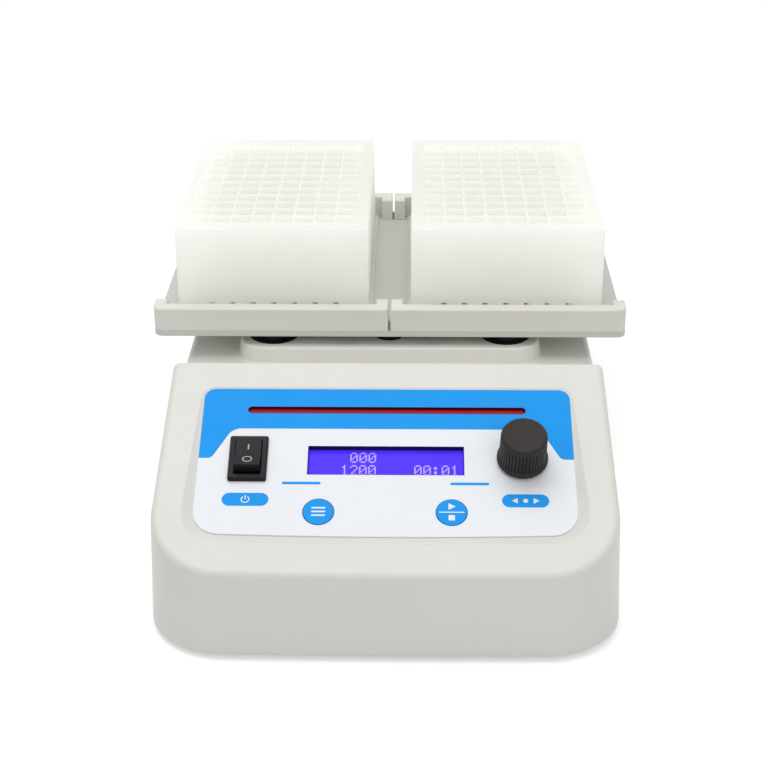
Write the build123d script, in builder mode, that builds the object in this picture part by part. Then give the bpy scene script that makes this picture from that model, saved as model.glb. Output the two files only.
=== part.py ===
from build123d import *
import os
from math import cos, radians, sin, tan

# Microplate shaker: a low bench unit with a sloped front console and an orbiting
# platform that carries two deep-well plates. +Z is up, the console faces -Y, and
# the origin is on the bench under the middle of the whole outline. Millimetres.

# Housing
body_width = 181.0
body_depth = 300.0
foot_height = 3.0
deck_height = 60.0
housing_wall = 2.5
side_draft = 2.5
front_corner = 30.0
rear_corner = 20.0
front_bow = 1.2
edge_round = 3.0
ridge_setback = 97.7
ridge_height = 78.0
ridge_back_run = 11.0
console_slope = 23.0
post_diameter = 8.0
post_inset = 14.5

# Control panel, set into the console at its own slope
panel_slope = 25.0
panel_width = 145.6
panel_length = 70.3
panel_top_gap = 15.0
panel_foil = 0.6
panel_top_corner = 4.5
panel_bottom_corner = 10.5
panel_bow = 1.3
recess_spread = 8.0
recess_rise = 5.0

# Orbit of the platform and the place of the drive
orbit_diameter = 3.0
drive_setback = 212.1

# Pedestal on the deck, under the platform
pedestal_width = 130.0
pedestal_length = 154.0
pedestal_height = 6.4
pedestal_corner = 12.0
pedestal_draft = 12.0
pedestal_round = 1.2

# Platform and its fences
platform_width = 203.1
platform_length = 148.1
platform_thickness = 2.5
platform_gap = 4.1
platform_corner = 4.0
fence_height = 10.2
fence_depth = 6.3
fence_return_reach = 11.7
fence_return_width = 5.4
fence_split = 1.1
fence_edge = 0.5

# Deep-well plates on the standard footprint, 12 by 8 wells
plate_length = 127.76
plate_width = 85.48
plate_height = 42.0
plate_pitch = 9.0
plate_rows = 12
plate_columns = 8
plate_flange = 2.5
plate_shoulder = 1.4
plate_foot_corner = 3.2
plate_skirt_wall = 1.1
plate_centre = 50.56
well_width = 8.0
well_foot_width = 8.8
well_foot_height = 8.5
well_foot_gap = 1.0
well_taper = 10.0
well_floor = 1.2
notch_width = 2.6
notch_height = 3.0

# Support pillars and centre buffers
pillar_inset = 14.5
pillar_base_diameter = 21.2
pillar_neck_diameter = 13.0
pillar_pocket_depth = 6.4
pillar_screw_diameter = 4.0
buffer_diameter = 12.6
buffer_rim = 1.7
buffer_flange = 1.6

# Drive
motor_diameter = 50.0
motor_height = 26.0
motor_shaft_diameter = 5.0
motor_shaft_reach = 11.5
motor_pilot_diameter = 16.0
motor_pilot_height = 1.5
motor_screw_circle = 32.0
bracket_top = 40.5
bracket_sheet = 2.5
bracket_width = 96.0
bracket_length = 60.0
bracket_foot = 14.0
eccentric_diameter = 24.0
eccentric_height = 10.5
eccentric_gap = 1.5
crank_pin_diameter = 8.0
crank_shoulder_diameter = 11.0
counterweight_radius = 32.0
counterweight_height = 7.0
bearing_outer = 22.0
bearing_height = 7.0
bearing_ring = 3.2
hub_wall = 4.0
hub_flange_diameter = 56.0
hub_flange_height = 3.0
hub_screw_circle = 44.0

# Front panel parts, placed from the middle of the panel
window_width = 60.6
window_height = 13.7
window_rise = 0.0
display_frame_width = 71.2
display_frame_height = 25.2
display_frame_depth = 4.5
display_board_width = 80.0
display_board_height = 36.0
lens_width = 110.0
lens_height = 3.4
lens_rise = 24.5
lens_sink = 1.2
lens_lip = 1.0
switch_width = 14.9
switch_length = 20.85
switch_offset = 53.3
switch_rise = 0.2
switch_bezel = 1.8
switch_body_depth = 14.0
switch_border_side = 2.2
switch_border_end = 2.4
switch_shoulder = 0.9
rocker_swing = 12.0
rocker_crown = 3.9
rocker_waist = 2.8
rocker_stub = 2.4
key_diameter = 12.0
key_offset = 25.2
key_rise = -24.1
key_travel = 0.5
key_proud = 0.25
key_edge = 0.15
key_depth = 1.6
key_stem = 3.0
knob_offset = 52.7
knob_rise = 0.5
knob_base_diameter = 19.8
knob_top_diameter = 17.9
knob_height = 15.0
knob_edge = 1.1
knob_shoulder = 2.4
knob_flange = 1.6
knob_gap = 1.2
knob_flutes = 30
knob_flute = 0.9
knob_hollow = 12.8
knob_seat = 4.6
encoder_shaft_diameter = 6.0
encoder_shaft_reach = 13.5
encoder_bushing_diameter = 7.0
encoder_bushing_reach = 4.0
encoder_body_width = 12.4
encoder_body_height = 6.5
encoder_nut_flats = 10.0
encoder_nut_height = 2.0
encoder_collar = 0.8
encoder_collar_height = 1.2
plunger_sink = 4.5
plunger_height = 0.7

# Boards
board_thickness = 1.6
board_left = -45.5
board_right = 66.0
board_low = -31.5
board_high = 28.5
board_boss = 4.0
board_edge = 2.4
board_boss_rise = 19.3
power_board_width = 100.0
power_board_length = 34.0
power_board_lift = 5.5
power_board_offset = 18.0
power_board_setback = 28.0
transformer_width = 34.0
transformer_height = 26.0
capacitor_diameter = 12.5
capacitor_height = 22.0

# Rear inlet with its fuse drawer
inlet_offset = -45.0
inlet_lift = 31.0
inlet_flange_width = 50.0
inlet_flange_height = 34.0
inlet_flange = 2.5
inlet_seat_setback = 3.0
inlet_seat_blend = 0.6
inlet_body_width = 28.0
inlet_body_height = 29.0
inlet_body_depth = 24.0
socket_width = 24.4
socket_height = 16.4
socket_depth = 16.0
socket_rise = 5.0
socket_bevel = 4.0
drawer_width = 20.0
drawer_height = 6.0
drawer_depth = 18.0
drawer_drop = 9.5

# Vent slots in the rear wall and in the base plate
rear_vent_offset = 40.0
rear_vent_pitch = 7.0
rear_vent_count = 8
rear_vent_width = 2.4
rear_vent_height = 20.0
base_vent_setback = 62.0
base_vent_pitch = 8.0
base_vent_count = 9
base_vent_width = 3.0
base_vent_length = 24.0

# Feet and fasteners
foot_diameter = 22.0
screw_head = 6.0
screw_head_height = 2.0
screw_diameter = 3.0
screw_length = 10.0

# Clearances
fit = 0.3
slip = 0.1

# Places worked out from the sizes above
front_y = -body_depth / 2
rear_y = body_depth / 2
ridge_y = front_y + ridge_setback
drive_y = front_y + drive_setback
spindle_y = drive_y - orbit_diameter / 2
pedestal_top = deck_height + pedestal_height
platform_bottom = pedestal_top + platform_gap
platform_top = platform_bottom + platform_thickness
base_top = foot_height + housing_wall
skin_bottom = pedestal_top - housing_wall
panel_top_y = ridge_y - panel_top_gap * cos(radians(console_slope))
panel_top_z = ridge_height - panel_top_gap * sin(radians(console_slope))
panel_mid_y = panel_top_y - panel_length / 2 * cos(radians(panel_slope))
panel_mid_z = panel_top_z - panel_length / 2 * sin(radians(panel_slope))
floor_depth = panel_foil + housing_wall
board_depth = floor_depth + encoder_body_height
hub_boss_diameter = bearing_outer + 2 * hub_wall
bearing_base = platform_bottom - hub_flange_height - bearing_height - 5.5
bearing_top = bearing_base + bearing_height
eccentric_base = bracket_top + eccentric_gap
eccentric_top = eccentric_base + eccentric_height
motor_base = bracket_top - bracket_sheet - motor_height
shaft_top = bracket_top + motor_shaft_reach
rear_wall_y = rear_y - inlet_seat_setback

panel_plane = Plane(
    origin=(0, panel_mid_y, panel_mid_z),
    x_dir=(1, 0, 0),
    z_dir=(0, -sin(radians(panel_slope)), cos(radians(panel_slope))),
)
post_spots = [
    (side * (body_width / 2 - post_inset), y)
    for y in (front_y + 22.0, ridge_y - 6.0, rear_y - 15.0)
    for side in (-1, 1)
]
foot_spots = [
    (side * (body_width / 2 - 32), y) for y in (front_y + 38, rear_y - 26) for side in (-1, 1)
]
pillar_spots = [
    (side * (pedestal_width / 2 - pillar_inset), drive_y + end * (pedestal_length / 2 - pillar_inset))
    for end in (-1, 1)
    for side in (-1, 1)
]
buffer_spots = [(0, drive_y + end * (pedestal_length / 2 - pillar_inset)) for end in (-1, 1)]
board_spots = [
    (board_left + board_edge, board_low + board_edge + 1),
    (board_right - board_edge, board_low + board_edge + 1),
    (board_left + board_edge, board_boss_rise),
    (board_right - board_edge, board_boss_rise),
]
key_spots = [(-key_offset, key_rise), (key_offset, key_rise)]
power_y = rear_y - power_board_setback
power_spots = [
    (power_board_offset + side * (power_board_width / 2 - 4), power_y + end * (power_board_length / 2 - 4))
    for end in (-1, 1)
    for side in (-1, 1)
]
hub_screw_spots = PolarLocations(hub_screw_circle / 2, 4, start_angle=45)


def console_z(y):
    """Height of the console's outer face at a place along the body."""
    return ridge_height - (ridge_y - y) * tan(radians(console_slope))


def recess_z(y):
    """Height of the recess floor under the panel at a place along the body."""
    return panel_mid_z + (y - panel_mid_y) * tan(radians(panel_slope)) - panel_foil / cos(radians(panel_slope))


def roof_z(y):
    """Height of the housing's inner roof at a place along the body."""
    if y < ridge_y:
        return recess_z(y) - housing_wall / cos(radians(panel_slope))
    return deck_height - housing_wall


def plan_outline(inset):
    """Plan of the body with a bowed front edge."""
    half = body_width / 2 - inset
    front = front_y + inset
    rear = rear_y - inset
    with BuildSketch() as outline:
        with BuildLine():
            ThreePointArc((-half, front + front_bow), (0, front), (half, front + front_bow))
            Polyline((half, front + front_bow), (half, rear), (-half, rear), (-half, front + front_bow))
        make_face()
        fillet(outline.vertices().sort_by(Axis.Y)[:2], radius=front_corner - inset)
        fillet(outline.vertices().sort_by(Axis.Y)[-2:], radius=rear_corner - inset)
    return outline.sketch


def panel_outline(grow=0.0):
    """Outline of the front panel with a bowed lower edge."""
    half = panel_width / 2 + grow
    top = panel_length / 2 + grow
    with BuildSketch() as outline:
        with BuildLine():
            ThreePointArc((-half, -top + panel_bow), (0, -top), (half, -top + panel_bow))
            Polyline((half, -top + panel_bow), (half, top), (-half, top), (-half, -top + panel_bow))
        make_face()
        fillet(outline.vertices().sort_by(Axis.Y)[:2], radius=panel_bottom_corner + grow)
        fillet(outline.vertices().sort_by(Axis.Y)[-2:], radius=panel_top_corner + grow)
    return outline.sketch


def side_profile(ridge_z, front_z, shrink=0.0):
    """Side view of the wedge and deck, from well in front of the body to well behind it."""
    with BuildSketch() as profile:
        with BuildLine():
            Polyline(
                (front_y - 10, -20),
                (front_y - 10, front_z),
                (ridge_y, ridge_z),
                (ridge_y + ridge_back_run, deck_height),
                (rear_y + 10, deck_height),
                (rear_y + 10, -20),
                close=True,
            )
        make_face()
        if shrink:
            offset(amount=-shrink, kind=Kind.INTERSECTION)
    return profile.sketch


def save(piece, name):
    """Label one finished piece and write its file."""
    piece.label = name
    export_step(piece, f"parts/{name}.step")


os.makedirs("parts", exist_ok=True)

# Moulded upper housing: console wedge, deck, pedestal and panel recess in one shell
with BuildPart() as cavity:
    with BuildSketch(Plane.XY.offset(foot_height)):
        add(plan_outline(housing_wall))
    extrude(amount=ridge_height, taper=side_draft)
    with BuildSketch(Plane.YZ):
        add(side_profile(recess_z(ridge_y), recess_z(front_y - 10), housing_wall))
    extrude(amount=body_width, both=True, mode=Mode.INTERSECT)
    with BuildSketch(Plane.XY.offset(deck_height - housing_wall)):
        with Locations((0, drive_y)):
            RectangleRounded(
                pedestal_width - 2 * housing_wall,
                pedestal_length - 2 * housing_wall,
                pedestal_corner - housing_wall,
            )
        with Locations(*pillar_spots):
            Circle(pillar_base_diameter / 2 + housing_wall, mode=Mode.SUBTRACT)
    extrude(amount=pedestal_height)

with BuildPart() as upper_housing:
    with BuildSketch(Plane.XY.offset(foot_height)):
        add(plan_outline(0))
    extrude(amount=ridge_height, taper=side_draft)
    with BuildSketch(Plane.YZ):
        add(side_profile(ridge_height, console_z(front_y - 10)))
    extrude(amount=body_width, both=True, mode=Mode.INTERSECT)
    tops = faces().filter_by(lambda face: face.normal_at().Z > 0.2)
    fillet(tops.edges(), radius=edge_round)
    with BuildSketch(Plane.XY.offset(deck_height)):
        with Locations((0, drive_y)):
            RectangleRounded(pedestal_width + 2, pedestal_length + 2, pedestal_corner)
    extrude(amount=pedestal_height, taper=pedestal_draft)
    raised = faces().filter_by(lambda face: abs(face.center().Z - pedestal_top) < 0.01)
    fillet(raised.edges(), radius=pedestal_round)
    with BuildSketch(panel_plane.offset(-panel_foil)):
        add(panel_outline(slip))
    with BuildSketch(panel_plane.offset(recess_rise - panel_foil)):
        add(panel_outline(recess_spread))
    loft(ruled=True, mode=Mode.SUBTRACT)
    add(cavity.part, mode=Mode.SUBTRACT)
    # Screw posts down to the base plate
    for spot in post_spots:
        with BuildSketch(Plane.XY.offset(base_top)):
            with Locations(spot):
                Circle(post_diameter / 2)
        extrude(amount=roof_z(spot[1]) + 1 - base_top)
    with Locations(*[(x, y, base_top) for x, y in post_spots]):
        Cylinder(
            screw_diameter / 2 - slip / 2,
            screw_length + 2,
            align=(Align.CENTER, Align.CENTER, Align.MIN),
            mode=Mode.SUBTRACT,
        )
    # Bosses that carry the control board
    with BuildSketch(panel_plane.offset(-board_depth)):
        with Locations(*board_spots):
            Circle(board_boss / 2)
    extrude(amount=encoder_body_height + 1)
    # Openings in the recess floor
    with BuildSketch(panel_plane):
        with Locations((0, window_rise)):
            Rectangle(window_width + 1, window_height + 1)
        with Locations((0, lens_rise)):
            SlotOverall(lens_width + 2 * slip, lens_height + 2 * slip)
        with Locations((-switch_offset, switch_rise)):
            Rectangle(switch_width - 2 * switch_shoulder + fit, switch_length - 2 * switch_shoulder + fit)
        with Locations((knob_offset, knob_rise)):
            Circle(encoder_bushing_diameter / 2 + slip)
        with Locations(*key_spots):
            Circle(key_stem / 2 + fit)
    extrude(amount=-floor_depth - 0.5, mode=Mode.SUBTRACT)
    with BuildSketch(panel_plane):
        with Locations(*key_spots):
            Circle(key_diameter / 2 + slip)
    extrude(amount=-key_depth - key_travel - 0.2, mode=Mode.SUBTRACT)
    # Pedestal openings for the drive hub, the pillars and the buffers
    with BuildSketch(Plane.XY.offset(pedestal_top)):
        with Locations((0, spindle_y)):
            Circle(hub_boss_diameter / 2 + orbit_diameter / 2 + 2)
        with Locations(*buffer_spots):
            Circle(buffer_diameter / 2 + slip)
        with Locations(*pillar_spots):
            Circle(pillar_screw_diameter / 2 + slip)
    extrude(amount=-pedestal_height - 4, mode=Mode.SUBTRACT)
    with BuildSketch(Plane.XY.offset(pedestal_top)):
        with Locations(*pillar_spots):
            Circle(pillar_base_diameter / 2 + slip)
    extrude(amount=-pillar_pocket_depth, mode=Mode.SUBTRACT)
    # Rear seat and window for the inlet
    with BuildSketch(Plane.XZ.offset(-(rear_wall_y - housing_wall))):
        with Locations((inlet_offset, inlet_lift)):
            Rectangle(inlet_flange_width + 4, inlet_flange_height + 4)
    extrude(amount=-housing_wall - inlet_seat_blend)
    with BuildSketch(Plane.XZ.offset(-rear_wall_y)):
        with Locations((inlet_offset, inlet_lift)):
            RectangleRounded(inlet_flange_width + 2 * slip, inlet_flange_height + 2 * slip, 3)
    extrude(amount=-10, mode=Mode.SUBTRACT)
    with BuildSketch(Plane.XZ.offset(-(rear_wall_y - 10))):
        with Locations((inlet_offset, inlet_lift)):
            Rectangle(inlet_body_width + fit, inlet_body_height + fit)
        with Locations((rear_vent_offset, inlet_lift)):
            with GridLocations(rear_vent_pitch, 0, rear_vent_count, 1):
                SlotOverall(rear_vent_height, rear_vent_width, rotation=90)
    extrude(amount=-20, mode=Mode.SUBTRACT)
save(upper_housing.part, "upper_housing")

# Base plate that closes the housing, with pegs for the power board
with BuildPart() as base_plate:
    with BuildSketch(Plane.XY.offset(foot_height)):
        add(plan_outline(housing_wall + fit))
    extrude(amount=housing_wall)
    with BuildSketch(Plane.XY.offset(base_top)):
        with Locations(*power_spots):
            Circle(3)
    extrude(amount=power_board_lift)
    with BuildSketch(Plane.XY.offset(foot_height)):
        with Locations(*post_spots):
            Circle(screw_diameter / 2 + slip)
        with Locations((0, spindle_y - base_vent_setback)):
            with GridLocations(base_vent_pitch, 0, base_vent_count, 1):
                Rectangle(base_vent_width, base_vent_length)
    extrude(amount=housing_wall, mode=Mode.SUBTRACT)
save(base_plate.part, "base_plate")

with BuildPart() as rubber_feet:
    with Locations(*[(x, y, 0) for x, y in foot_spots]):
        Cylinder(foot_diameter / 2, foot_height, align=(Align.CENTER, Align.CENTER, Align.MIN))
    chamfer(rubber_feet.edges().group_by(Axis.Z)[0], length=0.8)
save(rubber_feet.part, "rubber_feet")

with BuildPart() as base_screws:
    with Locations(*[(x, y, foot_height) for x, y in post_spots]):
        Cylinder(
            screw_head / 2, screw_head_height, align=(Align.CENTER, Align.CENTER, Align.MAX)
        )
        Cylinder(
            screw_diameter / 2 - slip, screw_length, align=(Align.CENTER, Align.CENTER, Align.MIN)
        )
save(base_screws.part, "base_screws")

# Front panel and what sits in it
with BuildPart() as front_panel:
    with BuildSketch(panel_plane.offset(-panel_foil)):
        add(panel_outline())
        with Locations((0, window_rise)):
            Rectangle(window_width, window_height, mode=Mode.SUBTRACT)
        with Locations((0, lens_rise)):
            SlotOverall(lens_width, lens_height, mode=Mode.SUBTRACT)
        with Locations((-switch_offset, switch_rise)):
            Rectangle(
                switch_width - 2 * switch_shoulder + fit,
                switch_length - 2 * switch_shoulder + fit,
                mode=Mode.SUBTRACT,
            )
        with Locations((knob_offset, knob_rise)):
            Circle(encoder_bushing_diameter / 2 + slip, mode=Mode.SUBTRACT)
        with Locations(*key_spots):
            Circle(key_diameter / 2 + slip, mode=Mode.SUBTRACT)
    extrude(amount=panel_foil)
save(front_panel.part, "front_panel")

with BuildPart() as slot_lens:
    with BuildSketch(panel_plane.offset(-floor_depth - lens_lip)):
        with Locations((0, lens_rise)):
            SlotOverall(lens_width + 3, lens_height + 1.8)
    extrude(amount=lens_lip)
    with BuildSketch(panel_plane.offset(-floor_depth)):
        with Locations((0, lens_rise)):
            SlotOverall(lens_width - slip, lens_height - slip)
    extrude(amount=floor_depth - lens_sink)
save(slot_lens.part, "slot_lens")

glass_depth = floor_depth + 0.5
with BuildPart() as display_frame:
    with BuildSketch(panel_plane.offset(-floor_depth)):
        with Locations((0, window_rise)):
            Rectangle(display_frame_width, display_frame_height)
    extrude(amount=-display_frame_depth)
    with BuildSketch(panel_plane.offset(-glass_depth)):
        with Locations((0, window_rise)):
            Rectangle(display_frame_width - 2, display_frame_height - 2)
    extrude(amount=-display_frame_depth, mode=Mode.SUBTRACT)
    with BuildSketch(panel_plane.offset(-floor_depth)):
        with Locations((0, window_rise)):
            Rectangle(window_width + 1, window_height + 1)
    extrude(amount=-1, mode=Mode.SUBTRACT)
save(display_frame.part, "display_frame")

with BuildPart() as display_glass:
    with BuildSketch(panel_plane.offset(-glass_depth)):
        with Locations((0, window_rise)):
            Rectangle(display_frame_width - 2 - fit, display_frame_height - 2 - fit)
    extrude(amount=-1.8)
save(display_glass.part, "display_glass")

with BuildPart() as display_backlight:
    with BuildSketch(panel_plane.offset(-glass_depth - 1.8)):
        with Locations((0, window_rise)):
            Rectangle(display_frame_width - 2 - fit, display_frame_height - 2 - fit)
    extrude(amount=-(display_frame_depth - 0.5 - 1.8))
save(display_backlight.part, "display_backlight")

with BuildPart() as display_board:
    with BuildSketch(panel_plane.offset(-floor_depth - display_frame_depth)):
        with Locations((0, window_rise)):
            Rectangle(display_board_width, display_board_height)
    extrude(amount=-board_thickness)
save(display_board.part, "display_board")

with BuildPart() as control_board:
    with BuildSketch(panel_plane.offset(-board_depth)):
        with Locations(((board_left + board_right) / 2, (board_low + board_high) / 2)):
            Rectangle(board_right - board_left, board_high - board_low)
        with Locations(*board_spots):
            Circle(1.1, mode=Mode.SUBTRACT)
    extrude(amount=-board_thickness)
save(control_board.part, "control_board")

with BuildPart() as board_screws:
    for across, rise in board_spots:
        with BuildSketch(panel_plane.offset(-board_depth - board_thickness)):
            with Locations((across, rise)):
                Circle(2.0)
        extrude(amount=-1.5)
        with BuildSketch(panel_plane.offset(-board_depth - board_thickness)):
            with Locations((across, rise)):
                Circle(1.0)
        extrude(amount=board_thickness)
save(board_screws.part, "board_screws")

with BuildPart() as indicator_lamps:
    with BuildSketch(panel_plane.offset(-board_depth)):
        with Locations(((board_left + board_right) / 2, lens_rise)):
            with GridLocations(13, 0, 8, 1):
                Rectangle(3.5, 2.8)
    extrude(amount=1.9)
save(indicator_lamps.part, "indicator_lamps")

with BuildPart() as tact_switches:
    with BuildSketch(panel_plane.offset(-board_depth)):
        with Locations(*key_spots):
            Rectangle(6.2, 6.2)
    extrude(amount=3.5)
    with BuildSketch(panel_plane.offset(-board_depth + 3.5)):
        with Locations(*key_spots):
            Circle(key_stem / 2 + fit)
    extrude(amount=-2, mode=Mode.SUBTRACT)
save(tact_switches.part, "tact_switches")

# Round keys: a low cap in the panel with a stem down to its switch
for spot, name in zip(key_spots, ("select_key", "start_stop_key")):
    with BuildPart() as key:
        with BuildSketch(panel_plane.offset(-key_depth)):
            with Locations(spot):
                Circle(key_diameter / 2 - fit + slip)
        extrude(amount=key_depth + key_proud)
        brow = key.faces().sort_by(Axis((0, 0, 0), panel_plane.z_dir))[-1]
        chamfer(brow.edges(), length=key_edge)
        with BuildSketch(panel_plane.offset(-key_depth)):
            with Locations(spot):
                Circle(key_stem / 2)
        extrude(amount=-(board_depth - 3.5 - key_depth + 0.3))
    save(key.part, name)

# Power rocker: framed well and a two-sided lever pressed down at its upper end
well_half = switch_length / 2 - switch_border_end
lever_half = well_half - 0.8
lever_width = switch_width - 2 * switch_border_side - 2 * fit
with BuildPart() as switch_frame:
    with BuildSketch(panel_plane):
        with Locations((-switch_offset, switch_rise)):
            RectangleRounded(switch_width, switch_length, 0.9)
    extrude(amount=switch_bezel)
    rim = faces().sort_by(Axis((0, 0, 0), panel_plane.z_dir))[-1]
    chamfer(rim.edges(), length=0.6)
    with BuildSketch(panel_plane):
        with Locations((-switch_offset, switch_rise)):
            Rectangle(switch_width - 2 * switch_shoulder, switch_length - 2 * switch_shoulder)
    extrude(amount=-switch_body_depth)
    with BuildSketch(panel_plane.offset(switch_bezel)):
        with Locations((-switch_offset, switch_rise)):
            Rectangle(switch_width - 2 * switch_border_side, 2 * well_half)
    extrude(amount=-switch_bezel - 9, mode=Mode.SUBTRACT)
    with BuildSketch(Plane(
        origin=panel_plane.from_local_coords((-switch_offset, switch_rise, 0)),
        x_dir=panel_plane.y_dir,
        z_dir=panel_plane.x_dir,
    )):
        Circle(rocker_stub / 2 + slip)
    extrude(amount=lever_width / 2 + fit + 0.8, both=True, mode=Mode.SUBTRACT)
save(switch_frame.part, "switch_frame")

lever_tilt = radians(panel_slope - rocker_swing)
lever_plane = Plane(
    origin=panel_plane.from_local_coords((-switch_offset, switch_rise, 0)),
    x_dir=(0, cos(lever_tilt), sin(lever_tilt)),
    z_dir=(1, 0, 0),
)
with BuildPart() as switch_rocker:
    with BuildSketch(lever_plane):
        with BuildLine():
            Polyline(
                (-lever_half, rocker_crown),
                (0, rocker_waist),
                (lever_half, rocker_crown),
                (lever_half, 0),
                (lever_half - 3.5, -5),
                (3.5 - lever_half, -5),
                (-lever_half, 0),
                close=True,
            )
        make_face()
    extrude(amount=lever_width / 2, both=True)
    with BuildSketch(lever_plane):
        Circle(rocker_stub / 2)
    extrude(amount=lever_width / 2 + fit + 0.5, both=True)
save(switch_rocker.part, "switch_rocker")

# Push encoder and its knob
knob_spot = (knob_offset, knob_rise)
with BuildPart() as encoder_body:
    with BuildSketch(panel_plane.offset(-board_depth)):
        with Locations(knob_spot):
            Rectangle(encoder_body_width, encoder_body_width)
    extrude(amount=encoder_body_height)
    with BuildSketch(panel_plane.offset(-floor_depth)):
        with Locations(knob_spot):
            Circle(encoder_bushing_diameter / 2)
    extrude(amount=floor_depth + encoder_bushing_reach)
    with BuildSketch(panel_plane.offset(encoder_bushing_reach)):
        with Locations(knob_spot):
            Circle(encoder_shaft_diameter / 2 + slip)
    extrude(amount=-encoder_bushing_reach - floor_depth - 3, mode=Mode.SUBTRACT)
    with BuildSketch(panel_plane.offset(-floor_depth - 2.4)):
        with Locations(knob_spot):
            Circle(encoder_shaft_diameter / 2 + 1.2)
    extrude(amount=-3.6, mode=Mode.SUBTRACT)
save(encoder_body.part, "encoder_body")

with BuildPart() as encoder_nut:
    with BuildSketch(panel_plane):
        with Locations(knob_spot):
            RegularPolygon(encoder_nut_flats / 2, 6, major_radius=False)
            Circle(encoder_bushing_diameter / 2 + slip, mode=Mode.SUBTRACT)
    extrude(amount=encoder_nut_height)
save(encoder_nut.part, "encoder_nut")

plunger_depth = floor_depth + plunger_sink
with BuildPart() as encoder_plunger:
    with BuildSketch(panel_plane.offset(-plunger_depth)):
        with Locations(knob_spot):
            Circle(encoder_shaft_diameter / 2 + encoder_collar)
    extrude(amount=-plunger_height)
save(encoder_plunger.part, "encoder_plunger")

with BuildPart() as encoder_shaft:
    with BuildSketch(panel_plane.offset(slip - plunger_depth)):
        with Locations(knob_spot):
            Circle(encoder_shaft_diameter / 2)
    extrude(amount=plunger_depth - slip + encoder_shaft_reach)
    with BuildSketch(panel_plane.offset(slip - plunger_depth)):
        with Locations(knob_spot):
            Circle(encoder_shaft_diameter / 2 + encoder_collar)
    extrude(amount=encoder_collar_height)
save(encoder_shaft.part, "encoder_shaft")

knob_axis = Plane(
    origin=panel_plane.from_local_coords((knob_offset, knob_rise, 0)),
    x_dir=panel_plane.x_dir,
    z_dir=-panel_plane.y_dir,
)
knob_top = knob_gap + knob_height
flute_base = knob_gap + knob_flange + 1
with BuildPart() as knob:
    with BuildSketch(knob_axis):
        with BuildLine():
            Polyline(
                (0, knob_top),
                (knob_top_diameter / 2 - knob_edge, knob_top),
                (knob_top_diameter / 2, knob_top - knob_edge),
                (knob_top_diameter / 2 + 0.4, flute_base),
                (knob_base_diameter / 2, knob_gap + knob_flange),
                (knob_base_diameter / 2, knob_gap),
                (knob_hollow / 2, knob_gap),
                (knob_hollow / 2, knob_gap + knob_seat),
                (encoder_shaft_diameter / 2 + slip / 2, knob_gap + knob_seat),
                (encoder_shaft_diameter / 2 + slip / 2, encoder_shaft_reach + slip),
                (0, encoder_shaft_reach + slip),
                close=True,
            )
        make_face()
    revolve(axis=Axis(knob_axis.origin, panel_plane.z_dir))
    with BuildSketch(Plane(
        origin=panel_plane.from_local_coords((knob_offset, knob_rise, flute_base)),
        x_dir=panel_plane.x_dir,
        z_dir=panel_plane.z_dir,
    )):
        with PolarLocations(knob_top_diameter / 2 + 0.35, knob_flutes):
            Rectangle(knob_flute, knob_flute, rotation=45)
    extrude(amount=knob_top - knob_shoulder - flute_base, mode=Mode.SUBTRACT)
save(knob.part, "knob")

# Rear inlet, its pins and its fuse drawer
inlet_face = rear_wall_y + inlet_flange
with BuildPart() as power_inlet:
    with BuildSketch(Plane.XZ.offset(-rear_wall_y)):
        with Locations((inlet_offset, inlet_lift)):
            RectangleRounded(inlet_flange_width, inlet_flange_height, 3)
    extrude(amount=-inlet_flange)
    with BuildSketch(Plane.XZ.offset(-rear_wall_y)):
        with Locations((inlet_offset, inlet_lift)):
            Rectangle(inlet_body_width, inlet_body_height)
    extrude(amount=inlet_body_depth)
    with BuildSketch(Plane.XZ.offset(-inlet_face)) as socket:
        with Locations((inlet_offset, inlet_lift + socket_rise)):
            Rectangle(socket_width, socket_height)
        chamfer(socket.vertices().group_by(Axis.Y)[-1], length=socket_bevel)
    extrude(amount=socket_depth, mode=Mode.SUBTRACT)
    with BuildSketch(Plane.XZ.offset(-inlet_face)):
        with Locations((inlet_offset, inlet_lift - drawer_drop)):
            Rectangle(drawer_width + 2 * fit, drawer_height + 2 * fit)
    extrude(amount=drawer_depth + fit, mode=Mode.SUBTRACT)
save(power_inlet.part, "power_inlet")

pin_spots = [
    (inlet_offset - 7, inlet_lift + socket_rise - 2),
    (inlet_offset, inlet_lift + socket_rise + 2),
    (inlet_offset + 7, inlet_lift + socket_rise - 2),
]
with BuildPart() as inlet_pins:
    with BuildSketch(Plane.XZ.offset(-(inlet_face - socket_depth))):
        with Locations(*pin_spots):
            Rectangle(2, 4)
    extrude(amount=-(socket_depth - 2))
save(inlet_pins.part, "inlet_pins")

with BuildPart() as fuse_drawer:
    with BuildSketch(Plane.XZ.offset(-inlet_face)):
        with Locations((inlet_offset, inlet_lift - drawer_drop)):
            Rectangle(drawer_width, drawer_height)
    extrude(amount=drawer_depth)
    with BuildSketch(Plane.XY.offset(inlet_lift - drawer_drop + drawer_height / 2)):
        with Locations((inlet_offset, inlet_face - drawer_depth / 2 - 1)):
            Rectangle(drawer_width - 3, drawer_depth - 5)
    extrude(amount=-(drawer_height - 1.2), mode=Mode.SUBTRACT)
save(fuse_drawer.part, "fuse_drawer")

# Power board on the base plate
power_z = base_top + power_board_lift
with BuildPart() as power_board:
    with BuildSketch(Plane.XY.offset(power_z)):
        with Locations((power_board_offset, power_y)):
            Rectangle(power_board_width, power_board_length)
        with Locations(*power_spots):
            Circle(1.6, mode=Mode.SUBTRACT)
    extrude(amount=board_thickness)
save(power_board.part, "power_board")

with BuildPart() as power_board_screws:
    with Locations(*[(x, y, power_z + board_thickness) for x, y in power_spots]):
        Cylinder(2.8, 1.8, align=(Align.CENTER, Align.CENTER, Align.MIN))
        Cylinder(1.5, board_thickness, align=(Align.CENTER, Align.CENTER, Align.MAX))
save(power_board_screws.part, "power_board_screws")

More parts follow.
